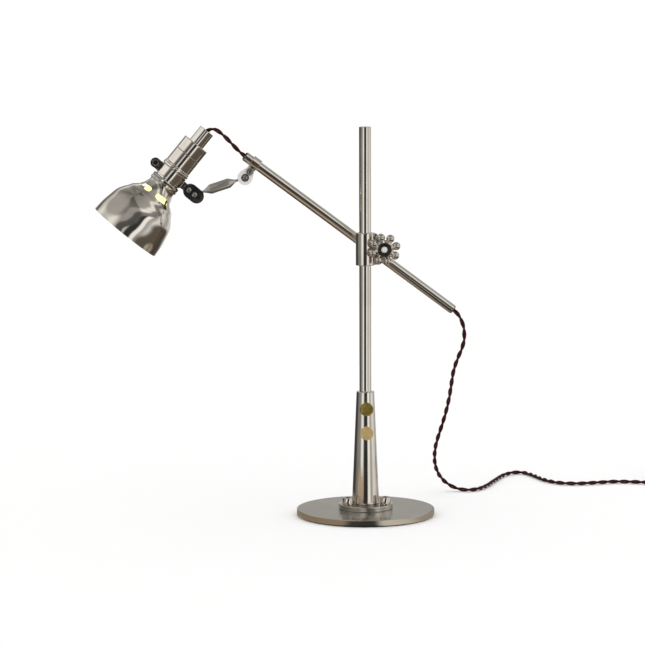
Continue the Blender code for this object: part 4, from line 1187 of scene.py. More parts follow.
@dataclass
class Foot:
    """The heavy disc, its felt pad, the hub flange and its three cap screws."""

    shop: Shop
    disc_r: float = 92.4
    disc_top: float = 9.6
    flange_r: float = 36.5
    flange_top: float = 16.3
    bolt_circle: float = 28.9
    bolt_angles: tuple[int, ...] = (-30, 90, 210)

    def build(self) -> None:
        """Builds the foot."""
        home = Matrix.Identity(4)
        disc = lathe(
            "foot_disc",
            [(4.3, self.disc_top), (60.0, self.disc_top), (self.disc_r, self.disc_top, 0.9),
             (self.disc_r, 1.8, 0.7), (13.0, 1.8), (13.0, 6.0), (4.3, 6.0)],
            home, 192,
        )
        self.shop.fit(disc, "stand", SATIN_NICKEL, ["base_plate"])
        pad = lathe("foot_felt", [(0.0, 1.5), (89.0, 1.5, 0.4), (89.0, 0.0, 0.3), (0.0, 0.0)], home, 128)
        self.shop.fit(pad, "stand", FELT, ["felt_pad"])
        flange = lathe(
            "hub_flange_turned",
            [(4.3, self.flange_top), (self.flange_r, self.flange_top, 0.7),
             (self.flange_r, self.disc_top + 0.3, 0.3), (4.3, self.disc_top + 0.3)],
            home, 144,
        )
        self.shop.fit(flange, "stand", NICKEL, ["hub_flange"])
        for number, angle in enumerate(self.bolt_angles, 1):
            turned_to = math.radians(angle)
            axes = shift(self.bolt_circle * math.cos(turned_to), self.bolt_circle * math.sin(turned_to))
            bolt = socket_screw(
                f"flange_cap_screw_{number}", (3.0, 4.5), (7.3, self.flange_top + 0.3, 26.9),
                (3.6, 4.2), axes,
            )
            self.shop.fit(bolt, "stand", NICKEL, [f"flange_bolt_{number}"])
        self.shop.dress(STEEL, "column_bolt", "column_washer")


@dataclass
class Column:
    """The tapered column and the tube that stands in it."""

    shop: Shop
    bottom: float = 16.6
    top: float = 168.0
    bottom_r: float = 18.2
    top_r: float = 11.9
    tube_r: float = 8.0
    tube_bore: float = 6.8
    tube_top: float = 521.3
    button_heights: tuple[float, ...] = (145.8, 113.6)

    def radius(self, height: float) -> float:
        """The column's radius at a height."""
        share = (height - self.bottom) / (self.top - self.bottom)
        return self.bottom_r + (self.top_r - self.bottom_r) * share

    def build(self) -> None:
        """Builds the column and the mast."""
        home = Matrix.Identity(4)
        skin = [(self.radius(float(z)), float(z)) for z in range(156, 100, -3)]
        column = lathe(
            "tapered_column",
            [(8.3, self.top), (self.top_r, self.top, 0.8), *skin,
             (self.bottom_r, self.bottom, 0.8), (4.0, self.bottom), (4.0, 38.0), (8.3, 38.0)],
            home, 96,
        )
        tools = [
            cutter_rod(f"button_hole_{i}", 6.5, 5.0, 30.0, shift(z=height) @ FORWARD)
            for i, height in enumerate(self.button_heights)
        ]
        carve(column, tools)
        self.shop.fit(column, "stand", NICKEL, ["column"])
        mast = lathe(
            "mast_tube_polished",
            [(self.tube_bore, self.tube_top, 0.3), (self.tube_r, self.tube_top, 0.5), (self.tube_r, 44.0),
             (self.tube_bore, 44.0)],
            home, 80,
        )
        self.shop.fit(mast, "stand", NICKEL, ["mast_tube"])


@dataclass
class PushButton:
    """One push button with its bush and its spring."""

    shop: Shop
    side: str
    height: float
    skin_r: float
    finish: Metal
    head_r: float = 9.0
    head_thick: float = 3.2
    lift: float = 3.6

    def build(self) -> None:
        """Builds the button, its bush and its spring."""
        axes = shift(z=self.height) @ FORWARD
        low = 8.7
        high = math.sqrt(self.skin_r ** 2 - 6.2 ** 2) - 0.2
        seat = low + 1.3
        bush = lathe(
            f"{self.side}_button_bush",
            [(5.5, high, 0.2), (6.2, high, 0.2), (6.2, low), (3.3, low), (3.3, seat), (5.5, seat)], axes, 48,
        )
        self.shop.fit(bush, "stand", BRIGHT_BRASS, [f"{self.side}_bush"])
        back = self.skin_r + self.lift
        front = back + self.head_thick
        head = lathe(
            f"{self.side}_push_button",
            [(0.0, front - 0.25), (6.6, front - 0.1, 0.4), (7.2, front, 0.2), (self.head_r, front, 0.5),
             (self.head_r, back, 0.4), (3.0, back, 0.2), (3.0, 6.4, 0.3), (0.0, 6.4)],
            axes, 72,
        )
        self.shop.fit(head, f"{self.side}_button", self.finish, [f"{self.side}_button"])
        self.spring(axes, seat + 0.35, back - 0.35)

    def spring(self, axes: Matrix, low: float, high: float) -> None:
        """Builds the coil spring at its rest length; the real one shortens as the button goes in.

        Args:
            axes: The button's axes.
            low: The spring's inner end.
            high: Its outer end.
        """
        turns, per_turn = 3.5, 28
        count = int(turns * per_turn)
        path = []
        for i in range(count + 1):
            angle = 2 * math.pi * i / per_turn
            path.append(axes @ Vector((
                4.1 * MM * math.cos(angle), 4.1 * MM * math.sin(angle),
                (low + 0.35 + (high - low - 0.7) * i / count) * MM,
            )))
        coil = loft(f"{self.side}_button_spring", tube_rows(path, 0.35 * MM, 8), Matrix.Identity(4), angle=60)
        self.shop.paint(coil, SPRING_STEEL)
        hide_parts(f"{self.side}_spring")
        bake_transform(coil)


@dataclass
class MastCollar:
    """The split collar on the mast, with its liner and the clamp bolt's washer, bolt and nut."""

    shop: Shop
    bottom: float = 337.3
    top: float = 380.7
    outer: float = 12.6
    bore: float = 9.3
    clamp: Pair = (24.0, 359.3)
    ear_r: float = 9.0
    ear_half: float = 7.0
    slit: float = 0.9

    def build(self) -> None:
        """Builds the collar and its clamp hardware."""
        home = Matrix.Identity(4)
        sleeve = lathe(
            "collar_sleeve",
            [(self.bore, self.top, 0.4), (self.outer, self.top, 0.8), (self.outer, self.bottom, 0.8),
             (self.bore, self.bottom, 0.4)],
            home, 96, opening=(0.0, 4.7),
        )
        outline = [(10.6, self.bottom + 0.9), (14.6, self.bottom + 0.9)]
        for i in range(27):
            angle = math.radians(-75 + 150 * i / 26)
            outline.append((
                self.clamp[0] + self.ear_r * math.cos(angle), self.clamp[1] + self.ear_r * math.sin(angle),
            ))
        outline += [(14.6, self.top - 0.9), (10.6, self.top - 0.9)]
        hole = circle(3.3, self.clamp)
        ears = [
            plate("ear_front", [outline, hole], self.slit, self.ear_half, FORWARD, 0.5),
            plate("ear_back", [outline, hole], -self.ear_half, -self.slit, FORWARD, 0.5),
        ]
        collar = merge("mast_collar_split", [sleeve, *ears], home)
        self.shop.fit(collar, "collar", NICKEL, ["mast_collar"])
        self.shop.dress(NYLON, "collar_liner")
        washer = lathe(
            "knob_thrust_washer",
            [(3.3, 8.6, 0.2), (8.0, 8.6, 0.4), (8.0, 7.3, 0.3), (3.3, 7.3)], KNOB_AXES, 64,
        )
        self.shop.fit(washer, "collar", STEEL, ["knob_washer"])
        back = -(ARM_PLANE_Y + 10.2)
        bolt = lathe(
            "clamp_stud",
            [(0.0, 15.4), (3.0, 15.4, 0.5), (3.0, back - 6.0, 0.7), (0.0, back - 6.0)], KNOB_AXES, 40,
        )
        self.shop.fit(bolt, "collar", STEEL, ["clamp_bolt"])
        rows = [
            ring(3.7, back - 0.6, 48), ring(6.3, back - 0.6, 48, hex_radius),
            ring(6.9, back - 1.1, 48, hex_radius), ring(6.9, back - 4.7, 48, hex_radius),
            ring(6.2, back - 5.4, 48, hex_radius), ring(3.9, back - 5.4, 48), ring(3.7, back - 5.2, 48),
        ]
        nut = loft("clamp_hex_nut", rows, KNOB_AXES, join_ends=True)
        self.shop.fit(nut, "collar", NICKEL, ["clamp_nut"])


@dataclass
class ClampKnob:
    """The knob: a hub with a ring of round lobes, a dark dished inlay and a domed cap."""

    shop: Shop
    lobes: int = 8
    lobe_r: float = 5.6
    lobe_circle: float = 16.4
    phase: float = 16.0
    plane: float = 17.5

    def lobe(self, number: int) -> bpy.types.Object:
        """One round lobe on its short neck, turned about the line out from the hub.

        Args:
            number: The lobe's number round the knob.

        Returns:
            The lobe.
        """
        out = [(4.9, -7.0), (4.3, -5.2)]
        for i in range(19):
            angle = math.radians(-44 + 134 * i / 18)
            out.append((self.lobe_r * math.cos(angle), self.lobe_r * math.sin(angle)))
        profile = [(0.0, -7.0), *out[:-1], (0.0, self.lobe_r)]
        axes = (
            KNOB_AXES @ turn(self.phase + 360 * number / self.lobes, "Z")
            @ shift(self.lobe_circle, 0.0, self.plane) @ ALONG
        )
        return lathe(f"lobe_{number}", profile, axes, 32)

    def build(self) -> None:
        """Builds the knob."""
        hub = lathe(
            "hub",
            [(3.3, 16.8), (9.3, 16.8), (9.3, 21.4, 0.3), (10.4, 21.4, 0.5), (12.6, 19.2, 0.9),
             (12.9, 15.6, 1.0), (8.0, 12.4, 0.8), (8.0, 8.9, 0.3), (3.3, 8.9)],
            KNOB_AXES, 96,
        )
        knob = merge(
            "lobed_clamp_knob", [hub] + [self.lobe(i) for i in range(self.lobes)], KNOB_AXES,
        )
        self.shop.fit(knob, "knob", NICKEL, ["knob_lobes"])
        inlay = lathe(
            "knob_dark_dish",
            [(4.6, 18.2), (5.4, 18.2, 0.2), (7.2, 18.9, 0.5), (9.0, 20.7, 0.2), (9.0, 17.1), (4.6, 17.1)],
            KNOB_AXES, 72,
        )
        self.shop.fit(inlay, "knob", DARK_INLAY, ["knob_inlay"])
        dome = [(0.0, 21.6)]
        for i in range(1, 9):
            angle = math.radians(90 - 80 * i / 8)
            dome.append((4.4 * math.cos(angle), 18.3 + 3.3 * math.sin(angle)))
        cap = lathe("knob_domed_cap", [*dome, (4.4, 17.1), (0.0, 17.1)], KNOB_AXES, 48)
        # The cap's pale plate finish is painted highlight.
        self.shop.fit(cap, "knob", PLATE_NICKEL, ["knob_cap"])


@dataclass
class ArmClamp:
    """The split block behind the collar that grips the arm."""

    shop: Shop
    drop: float = 10.6
    arm_r: float = 6.35

    def build(self) -> None:
        """Builds the block."""
        front, back = 13.1, ARM_PLANE_Y + 9.9
        flat = ARM_CLAMP_AXES @ FORWARD
        body = plate(
            "arm_block",
            [round_two((0.0, -self.drop), 9.6, (0.0, 0.0), 8.6), circle(3.3)], -back, -front, flat, 0.7,
        )
        bore = cutter_rod(
            "arm_bore", self.arm_r + 0.15, -20.0, 20.0,
            ARM_CLAMP_AXES @ shift(y=ARM_PLANE_Y, z=-self.drop) @ ALONG,
        )
        slit = block(
            "clamp_slit", (-20.0, ARM_PLANE_Y - 0.7, -self.drop), (20.0, ARM_PLANE_Y + 0.7, 20.0),
            ARM_CLAMP_AXES,
        )
        carve(body, [bore, slit])
        boss = lathe("boss", [(3.3, -14.0), (8.0, -14.0), (8.0, -7.3, 0.5), (3.3, -7.3, 0.3)], flat, 64)
        block_piece = merge("arm_clamp_block", [body, boss], ARM_CLAMP_AXES)
        self.shop.fit(block_piece, "arm_clamp", WARM_NICKEL, ["arm_clamp"])


@dataclass
class Arm:
    """The sliding arm with its end bushes and the ring clamp of the first knuckle."""

    shop: Shop
    left: float = -219.1
    right: float = 127.5
    outer: float = 6.35
    bore: float = 5.35
    ring_span: Pair = (-209.0, -197.0)
    ring_r: float = 8.2

    def build(self) -> None:
        """Builds the arm."""
        along = ARM_AXES @ ALONG
        tube = lathe(
            "arm_tube_polished",
            [(self.bore, self.right, 0.3), (self.outer, self.right, 0.4), (self.outer, self.left, 0.4),
             (self.bore, self.left, 0.3)],
            along, 80,
        )
        self.shop.fit(tube, "arm", NICKEL, ["arm_tube"])
        for side, end, facing in (("left", self.left, turn(-90, "Y")), ("right", self.right, ALONG)):
            bush = lathe(
                f"arm_end_bush_{side}",
                [(3.4, 1.6, 0.5), (4.6, 1.6, 0.4), (5.8, 0.9, 0.4), (5.8, 0.3), (5.05, 0.3), (5.05, -8.0),
                 (3.4, -8.0)],
                ARM_AXES @ shift(x=end) @ facing, 48,
            )
            self.shop.fit(bush, "arm", RUBBER, [f"arm_bush_{side}"])
        self.ring_clamp()
        self.shop.dress(RUBBER, "arm_lead")

    def ring_clamp(self) -> None:
        """Builds the ring clamp and its hexagonal bolt."""
        middle = sum(self.ring_span) / 2
        half = (self.ring_span[1] - self.ring_span[0]) / 2
        band = lathe(
            "ring_band",
            [(self.outer + 0.15, half), (self.ring_r, half, 0.4), (self.ring_r, -half, 0.4),
             (self.outer + 0.15, -half)],
            ARM_AXES @ shift(x=middle) @ ALONG, 72, opening=(0.0, 36.0),
        )
        x, z = PIVOT_1
        outline = [(x - 5.0, -3.6), (x - 5.0, z)]
        outline += [
            (x - 5.0 * math.cos(math.pi * i / 20), z - 5.0 * math.sin(math.pi * i / 20)) for i in range(1, 20)
        ]
        outline += [(x + 5.0, z), (x + 5.0, -3.6)]
        flat = ARM_AXES @ FORWARD
        ears = [
            plate(f"ring_ear_{i}", [outline, circle(2.3, PIVOT_1)], low, low + 2.3, flat, 0.4)
            for i, low in enumerate((4.4, -6.7))
        ]
        clamp = merge("arm_ring_clamp", [band, *ears], ARM_AXES)
        self.shop.fit(clamp, "arm", WARM_NICKEL, ["arm_ring"])
        bolt = socket_screw(
            "ring_hex_bolt", (2.0, -7.0), (5.4, 7.0, 10.2), (2.3, 2.2),
            ARM_AXES @ shift(PIVOT_1[0], 0.0, PIVOT_1[1]) @ FORWARD, hexagonal=True, tail=(5.4, 3.2),
        )
        self.shop.fit(bolt, "arm", STEEL, ["ring_bolt"])


@dataclass
class Knuckles:
    """The two knuckles and the link rod between them."""

    shop: Shop
    plate_span: Pair = (1.9, 4.1)
    plate_r: float = 9.75
    small_r: float = 5.9
    eye_r: float = 4.6
    eye_half: float = 1.6
    hex_width: float = 11.5
    hex_length: float = 26.0
    taper: float = 9.0
    neck_r: float = 1.7

    def pan_screw(self, name: str, axes: Matrix, finish: Metal, body: str, node: str) -> None:
        """A slotted pan-head pivot screw with a round nut behind.

        Args:
            name: The piece's name.
            axes: Its own axes, with the head at +Z.
            finish: Its finish.
            body: The body that it rides on.
            node: The CAD node that it stands for.
        """
        screw = lathe(
            name,
            [(0.0, 6.4), (1.3, 6.35, 0.4), (2.6, 6.0, 0.6), (3.6, 5.0, 0.5), (3.6, 4.35, 0.15), (2.0, 4.35),
             (2.0, -4.4), (3.6, -4.4, 0.15), (3.6, -6.4, 0.4), (0.0, -6.4)],
            axes, 56,
        )
        carve(screw, [block("slot", (-5.0, -0.42, 5.5), (5.0, 0.42, 8.0), axes)])
        self.shop.fit(screw, body, finish, [node])

    def cheeks(
        self, name: str, outline: Sequence[Pair], holes: Sequence[Pair], axes: Matrix, finish: Metal,
        body: str, nodes: str,
    ) -> None:
        """A front and a back plate with rounded rims.

        Args:
            name: The pair's name.
            outline: The plates' outline.
            holes: The centres of the holes.
            axes: The plates' own axes.
            finish: Their finish.
            body: The body that they move with.
            nodes: The start of the names of the CAD nodes that they replace.
        """
        for side, low in (("front", self.plate_span[0]), ("back", -self.plate_span[1])):
            cheek = plate(
                f"{name}_{side}", [outline] + [circle(2.3, hole) for hole in holes], low,
                low + self.plate_span[1] - self.plate_span[0], axes, 0.55,
            )
            self.shop.fit(cheek, body, finish, [f"{nodes}_{side}"])

    def build(self) -> None:
        """Builds both knuckles and the link."""
        drop = PIVOT_2[1] - PIVOT_1[1]
        # The egg cheeks' pale plate finish is painted highlight.
        self.cheeks(
            "egg_cheek", round_two((0.0, drop), self.plate_r, (0.0, 0.0), self.small_r),
            [(0.0, 0.0), (0.0, drop)], KNUCKLE_A_AXES @ FORWARD, PLATE_NICKEL, "knuckle_a", "knuckle_a",
        )
        self.shop.dress(STEEL, "knuckle_a_spacer")
        self.pan_screw(
            "link_pivot_screw", KNUCKLE_A_AXES @ shift(z=drop) @ FORWARD, STEEL, "knuckle_a", "link_screw",
        )
        pivot = KNUCKLE_B_AXES.inverted() @ HEAD_PIVOT_POINT / MM
        inner = (pivot.x + 2.7, pivot.z)
        outer = (inner[0] + 10.5, pivot.z)
        self.cheeks(
            "black_cheek", round_two(inner, self.plate_r, outer, self.plate_r - 0.01),
            [(0.0, 0.0), (pivot.x, pivot.z)], KNUCKLE_B_AXES @ FORWARD, BLACKED_STEEL, "knuckle_b",
            "knuckle_b",
        )
        # Painted shadow: a thin black ring under the link screw's head, standing in for the ring of shade
        # round it.
        rim = lathe(
            "link_pivot_painted_shadow_ring",
            [(3.7, 4.3, 0.05), (5.2, 4.3, 0.1), (5.2, 4.12), (3.7, 4.12)],
            KNUCKLE_A_AXES @ shift(z=drop) @ FORWARD, 56,
        )
        self.shop.fit(rim, "knuckle_a", BLACKED_STEEL)
        self.pan_screw("link_tip_screw", KNUCKLE_B_AXES @ FORWARD, STEEL, "knuckle_b", "link_end_screw")
        self.pan_screw(
            "head_pivot_screw", KNUCKLE_B_AXES @ shift(pivot.x, 0.0, pivot.z) @ FORWARD, STEEL,
            "knuckle_b", "head_screw",
        )
        self.link()

    def link(self) -> None:
        """Builds the link rod: a hexagonal body that tapers to a flat eye at each end."""
        length = LINK_LINE.length / MM
        half, body = length / 2, self.hex_length / 2
        tip = body + self.taper
        corner = self.hex_width / math.sqrt(3)
        neck = half - self.eye_r + 0.6
        rows = []
        for sign in (-1, 1):
            part = [
                ring(self.neck_r, sign * neck, 48), ring(self.neck_r, sign * tip, 48),
                ring(self.neck_r + (corner - self.neck_r) * 0.5, sign * (body + self.taper * 0.5), 48,
                     hex_radius),
                ring(corner - 0.3, sign * (body + 0.6), 48, hex_radius),
                ring(corner, sign * (body - 0.4), 48, hex_radius),
            ]
            rows += part if sign < 0 else part[::-1]
        rod = loft("hex_rod", rows, LINK_AXES @ shift(x=half) @ ALONG, angle=18.0)
        eyes = [
            plate(f"eye_{i}", [circle(self.eye_r, (x, 0.0)), circle(2.3, (x, 0.0))], -self.eye_half,
                  self.eye_half, LINK_AXES @ FORWARD, 0.4)
            for i, x in enumerate((0.0, length))
        ]
        link = merge("hexagonal_link", [rod, *eyes], LINK_AXES)
        self.shop.fit(link, "link", LINK_STEEL, ["link_rod"])


@dataclass
class Shade:
    """The spun shade with its vents, and the ribbed ring that holds it."""

    shop: Shop
    wall: float = 0.9
    outline: tuple[Pair, ...] = (
        (0.0, 50.8), (13.3, 49.8), (26.7, 47.4), (38.5, 44.7), (46.4, 40.4), (51.8, 36.2),
        (57.1, 33.0), (60.0, 29.7), (64.0, 25.4), (69.0, 22.2), (74.5, 19.9), (79.0, 19.0), (87.4, 19.0),
    )
    vents: int = 5
    vent_start: float = -0.5  # the first vent's near end, in degrees from the front
    vent_span: float = 50.0
    vent_round: float = 7.0
    vent_t: Pair = (62.2, 69.2)
    segments: int = 180

    def curve(self) -> list[Pair]:
        """The outer skin as (along, radius), smoothed, with rows on the vents' two edges."""
        knots = [(radius, 0.0, along) for along, radius in self.outline]
        points = [(p.z / MM, p.x / MM) for p in spline_points(knots, 1.4 * MM)]
        rows = [p for p in points if min(abs(p[0] - edge) for edge in self.vent_t) > 0.5]
        for edge in self.vent_t:
            for (t0, r0), (t1, r1) in zip(points, points[1:]):
                if t0 <= edge <= t1:
                    rows.append((edge, r0 + (r1 - r0) * (edge - t0) / (t1 - t0)))
                    break
        return sorted(rows)

    def angle(self, column: int, along: float) -> float:
        """A grid point's angle, drawn in at a vent's ends so that they are round.

        Args:
            column: The point's column.
            along: The point's height along the head.

        Returns:
            The angle, in degrees.
        """
        angle = self.vent_start + 360 * column / self.segments
        low, high = self.vent_t
        if low - 0.01 <= along <= high + 0.01:
            height = min(1.0, abs(along - (low + high) / 2) / ((high - low) / 2))
            inward = self.vent_round * (1 - math.sqrt(1 - height ** 2))
            pitch, half = 360 / self.vents, self.vent_span / 2
            number = round((angle - self.vent_start - half) / pitch)
            middle = self.vent_start + half + number * pitch
            if abs(angle - middle) <= half + 0.01:
                angle = middle + (angle - middle) * (half - inward) / half
        return math.radians(angle - 90)

    def build(self) -> None:
        """Builds the shade and its ring."""
        outer = self.curve()
        inner = []
        for index, (t, radius) in enumerate(outer):
            before, after = outer[max(index - 1, 0)], outer[min(index + 1, len(outer) - 1)]
            along = Vector((after[0] - before[0], after[1] - before[1])).normalized()
            inner.append((t + self.wall * along.y, radius - self.wall * along.x))
        inner[0] = (0.0, outer[0][1] - self.wall)
        inner[-1] = (outer[-1][0], outer[-1][1] - self.wall)
        work = bmesh.new()
        skins = []
        for rows in (outer, inner):
            skin = []
            for row, (t, radius) in enumerate(rows):
                angles = [self.angle(i, outer[row][0]) for i in range(self.segments)]
                skin.append([
                    work.verts.new((radius * MM * math.cos(a), radius * MM * math.sin(a), t * MM))
                    for a in angles
                ])
            skins.append(skin)
        span = round(self.vent_span / 2)
        step = round(360 / self.vents / 2)

        def open_cell(row: int, column: int) -> bool:
            """True where a vent leaves the wall out."""
            middle = (outer[row][0] + outer[row + 1][0]) / 2
            return self.vent_t[0] < middle < self.vent_t[1] and column % step < span

        last = len(outer) - 1
        for index, skin in enumerate(skins):
            for row in range(last):
                for column in range(self.segments):
                    if open_cell(row, column):
                        continue
                    after = (column + 1) % self.segments
                    face = work.faces.new((
                        skin[row][column], skin[row][after], skin[row + 1][after], skin[row + 1][column],
                    ))
                    face.material_index = index
        for row in range(last + 1):
            for column in range(self.segments):
                after = (column + 1) % self.segments
                at_end = row in (0, last)
                above = row < last and open_cell(row, column)
                below = row > 0 and open_cell(row - 1, column)
                if at_end or above != below:
                    rim = work.faces.new((skins[0][row][column], skins[0][row][after],
                                          skins[1][row][after], skins[1][row][column]))
                    # The rim and the vents' edges take the lining's material, with its painted bulb glow.
                    rim.material_index = 1
                if row < last and open_cell(row, column) != open_cell(row, column - 1):
                    work.faces.new((skins[0][row][column], skins[0][row + 1][column],
                                    skins[1][row + 1][column], skins[1][row][column]))
        shade = make_object("spun_shade", work, HEAD_AXES)
        self.shop.paint(shade, NICKEL, SHADE_INSIDE)
        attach(shade, "head")
        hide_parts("shade")
        fitter = lathe(
            "ribbed_fitter_ring",
            [(19.2, 88.4), (20.1, 88.4, 0.4), (20.8, 87.3, 0.5), (20.3, 84.9, 0.4), (20.1, 84.2, 0.3),
             (20.3, 83.5, 0.4), (20.8, 81.0, 0.5), (20.1, 79.8, 0.4), (19.2, 79.8)],
            HEAD_AXES, 112,
        )
        self.shop.fit(fitter, "head", NICKEL, ["fitter_ring"])


@dataclass
class Lampholder:
    """The socket housing with its cord tube, the insulator inside, and the bulb."""

    shop: Shop
    shell_r: float = 18.4
    seam: float = 132.3
    top: float = 150.8
    tube_r: float = 10.7
    tube_top: float = 173.3
    bulb_t: float = 42.0
    bulb_r: float = 23.5

    def build(self) -> None:
        """Builds the housing and the bulb."""
        shell = lathe(
            "socket_lower_shell",
            [(self.shell_r - 1.0, self.seam), (self.shell_r, self.seam, 0.35), (self.shell_r, 111.8, 0.3),
             (19.1, 111.0, 0.3), (19.1, 109.3, 0.2), (19.8, 108.6, 0.4), (19.8, 106.0, 0.4),
             (17.7, 105.4), (17.7, 83.0), (16.8, 83.0), (16.8, 105.9), (self.shell_r - 1.0, 107.5)],
            HEAD_AXES, 112,
        )
        self.shop.fit(shell, "head", NICKEL, ["socket_shell"])
        cap = lathe(
            "socket_upper_cap",
            [(self.tube_r + 0.3, self.top), (self.shell_r, self.top, 0.9),
             (self.shell_r, self.seam + 0.3, 0.35), (self.shell_r - 1.0, self.seam + 0.3),
             (self.shell_r - 1.0, self.top - 1.2), (self.tube_r + 0.3, self.top - 1.2)],
            HEAD_AXES, 112,
        )
        self.shop.fit(cap, "head", NICKEL, ["socket_cap"])
        tube = lathe(
            "cord_outlet_tube",
            [(self.tube_r - 1.0, self.tube_top, 0.3), (self.tube_r, self.tube_top, 0.4),
             (self.tube_r, self.top - 1.5), (self.tube_r + 2.2, self.top - 1.5),
             (self.tube_r + 2.2, self.top - 3.2), (self.tube_r - 1.0, self.top - 3.2)],
            HEAD_AXES, 96,
        )
        self.shop.fit(tube, "head", NICKEL, ["cord_tube"])
        grommet = lathe(
            "outlet_grommet",
            [(3.4, 163.3, 0.5), (9.4, 163.3, 0.6), (9.4, 158.5, 0.4), (3.4, 158.5)], HEAD_AXES, 64,
        )
        self.shop.fit(grommet, "head", RUBBER, ["tube_grommet"])
        self.shop.dress(CERAMIC, "insulator")
        self.shop.dress(BRIGHT_BRASS, "screw_shell", "centre_contact")
        self.shop.dress(MOUNT_GLASS, "bulb_mount")
        self.bulb()

    def bulb(self) -> None:
        """Builds the lit bulb and its threaded base."""
        outer: list[Pair] = [(0.0, self.bulb_t - self.bulb_r)]
        for i in range(1, 19):
            angle = math.radians(90 - 120 * i / 19)
            outer.append((self.bulb_r * math.cos(angle), self.bulb_t - self.bulb_r * math.sin(angle)))
        neck = spline_points(
            [(outer[-1][0], 0, outer[-1][1]), (19.0, 0, 57.5), (15.4, 0, 67.0), (12.8, 0, 77.0),
             (11.9, 0, 89.6)],
            2.0 * MM,
        )
        outer += [(p.x / MM, p.z / MM) for p in neck[1:]]
        inner = [(max(r - 0.8, 0.0), z + (0.8 if r < self.bulb_r / 2 else 0.3)) for r, z in outer[:-1]]
        glass = lathe("bulb_glass_lit", [*inner, (outer[-1][0] - 0.8, 89.6), *reversed(outer)], HEAD_AXES, 72)
        self.shop.fit(glass, "head", BULB_GLASS, ["bulb_glass"])
        thread: list[Pair] = []
        for i in range(41):
            wave = 0.35 * math.sin(2 * math.pi * i / 8)
            thread.append((12.6 + wave, 109.0 - 17.6 * i / 40))
        base = lathe(
            "bulb_threaded_base",
            [(0.0, 114.3), (3.0, 114.0, 0.4), (9.0, 111.5, 0.8), *thread, (12.4, 90.2), (0.0, 90.0)],
            HEAD_AXES, 72,
        )
        self.shop.fit(base, "head", BRIGHT_BRASS, ["bulb_base"])


@dataclass
class SocketBand:
    """The split band round the socket, its black thumb screw and the head pivot's tab."""

    shop: Shop
    span: Pair = (90.4, 105.0)
    bore: float = 18.0
    outer: float = 19.4
    screw_s: float = -26.8

    def build(self) -> None:
        """Builds the band."""
        low, high = self.span
        middle = (low + high) / 2
        hoop = lathe(
            "band_hoop",
            [(self.bore, high), (self.outer, high, 0.5), (self.outer, low, 0.5), (self.bore, low)],
            HEAD_AXES, 112, opening=(180.0, 2.5),
        )
        flat = HEAD_AXES @ FORWARD
        tab = plate(
            "tab", [round_two((17.6, HEAD_PIVOT[1]), 5.4, HEAD_PIVOT, 4.6), circle(2.3, HEAD_PIVOT)],
            -1.6, 1.6, flat, 0.4,
        )
        ear_outline = round_two((-19.4, middle), 6.6, (self.screw_s, middle), 6.2)
        hole = circle(2.3, (self.screw_s, middle))
        ears = [
            plate(f"band_ear_{i}", [ear_outline, hole], a, b, flat, 0.4)
            for i, (a, b) in enumerate(((0.8, 3.4), (-3.4, -0.8)))
        ]
        band = merge("socket_band", [hoop, tab, *ears], HEAD_AXES)
        carve(band, [cutter_rod("band_bore", self.bore - 0.02, 80.0, 115.0, HEAD_AXES)])
        self.shop.fit(band, "head", NICKEL, ["band_clamp"])
        axes = HEAD_AXES @ shift(x=self.screw_s, z=middle) @ FORWARD
        screw = socket_screw(
            "band_black_screw", (2.0, -3.8), (6.7, 3.8, 6.4), (2.4, 1.8), axes, tail=(5.4, 2.8),
        )
        self.shop.fit(screw, "head", BLACKED_STEEL, ["band_screw"])
        collar = lathe(
            "band_screw_ring",
            [(3.1, 6.7, 0.12), (4.7, 6.7, 0.15), (4.7, 6.3), (3.1, 6.3)], axes, 56,
        )
        self.shop.fit(collar, "head", STEEL)


@dataclass
class TwistedCord:
    """A pair of braided strands twisted together, made whole and then cut into joined lengths."""

    shop: Shop
    strand: float = 2.9
    stated_width: float = 5.0  # not measured: the pair is 5.8 mm one way and 2.9 mm the other
    twist: float = 32.0
    sides: int = 12
    spacing: float = 2.0

    def lay(
        self, path: Sequence[Vector], cuts: Sequence[tuple[str, int, int]],
    ) -> dict[str, bpy.types.Object]:
        """Makes the pair along a path and cuts it.

        Args:
            path: The centreline, evenly spaced.
            cuts: For each length, its name and the path's first and last index in it.

        Returns:
            The lengths by name.
        """
        radius = self.strand / 2 * MM
        step = (path[1] - path[0]).length / MM
        turn_per_point = 2 * math.pi * step / self.twist
        strands = [
            tube_rows(path, radius * 0.985, self.sides, lambda i, a=start: a + i * turn_per_point, radius)
            for start in (0.0, math.pi)
        ]
        pieces = {}
        for name, first, last in cuts:
            work = bmesh.new()
            sleeve = work.loops.layers.uv.new("sleeve")
            for rows in strands:
                verts = [[work.verts.new(p) for p in rows[i]] for i in range(first, last + 1)]
                for i in range(len(verts) - 1):
                    for j in range(self.sides):
                        k = (j + 1) % self.sides
                        face = work.faces.new((verts[i][j], verts[i][k], verts[i + 1][k], verts[i + 1][j]))
                        corners = ((j, i), (j + 1, i), (j + 1, i + 1), (j, i + 1))
                        for loop, (around, along) in zip(face.loops, corners):
                            loop[sleeve].uv = (around / self.sides, (first + along) * step / 2.2)
                work.faces.new(verts[0][::-1])
                work.faces.new(verts[-1])
            pieces[name] = make_object(name, work, Matrix.Identity(4), 70.0)
            self.shop.paint(pieces[name], CLOTH)
        return pieces

    @staticmethod
    def run(path: Sequence[Vector]) -> float:
        """The length of a path, in metres."""
        return sum((b - a).length for a, b in zip(path, path[1:]))


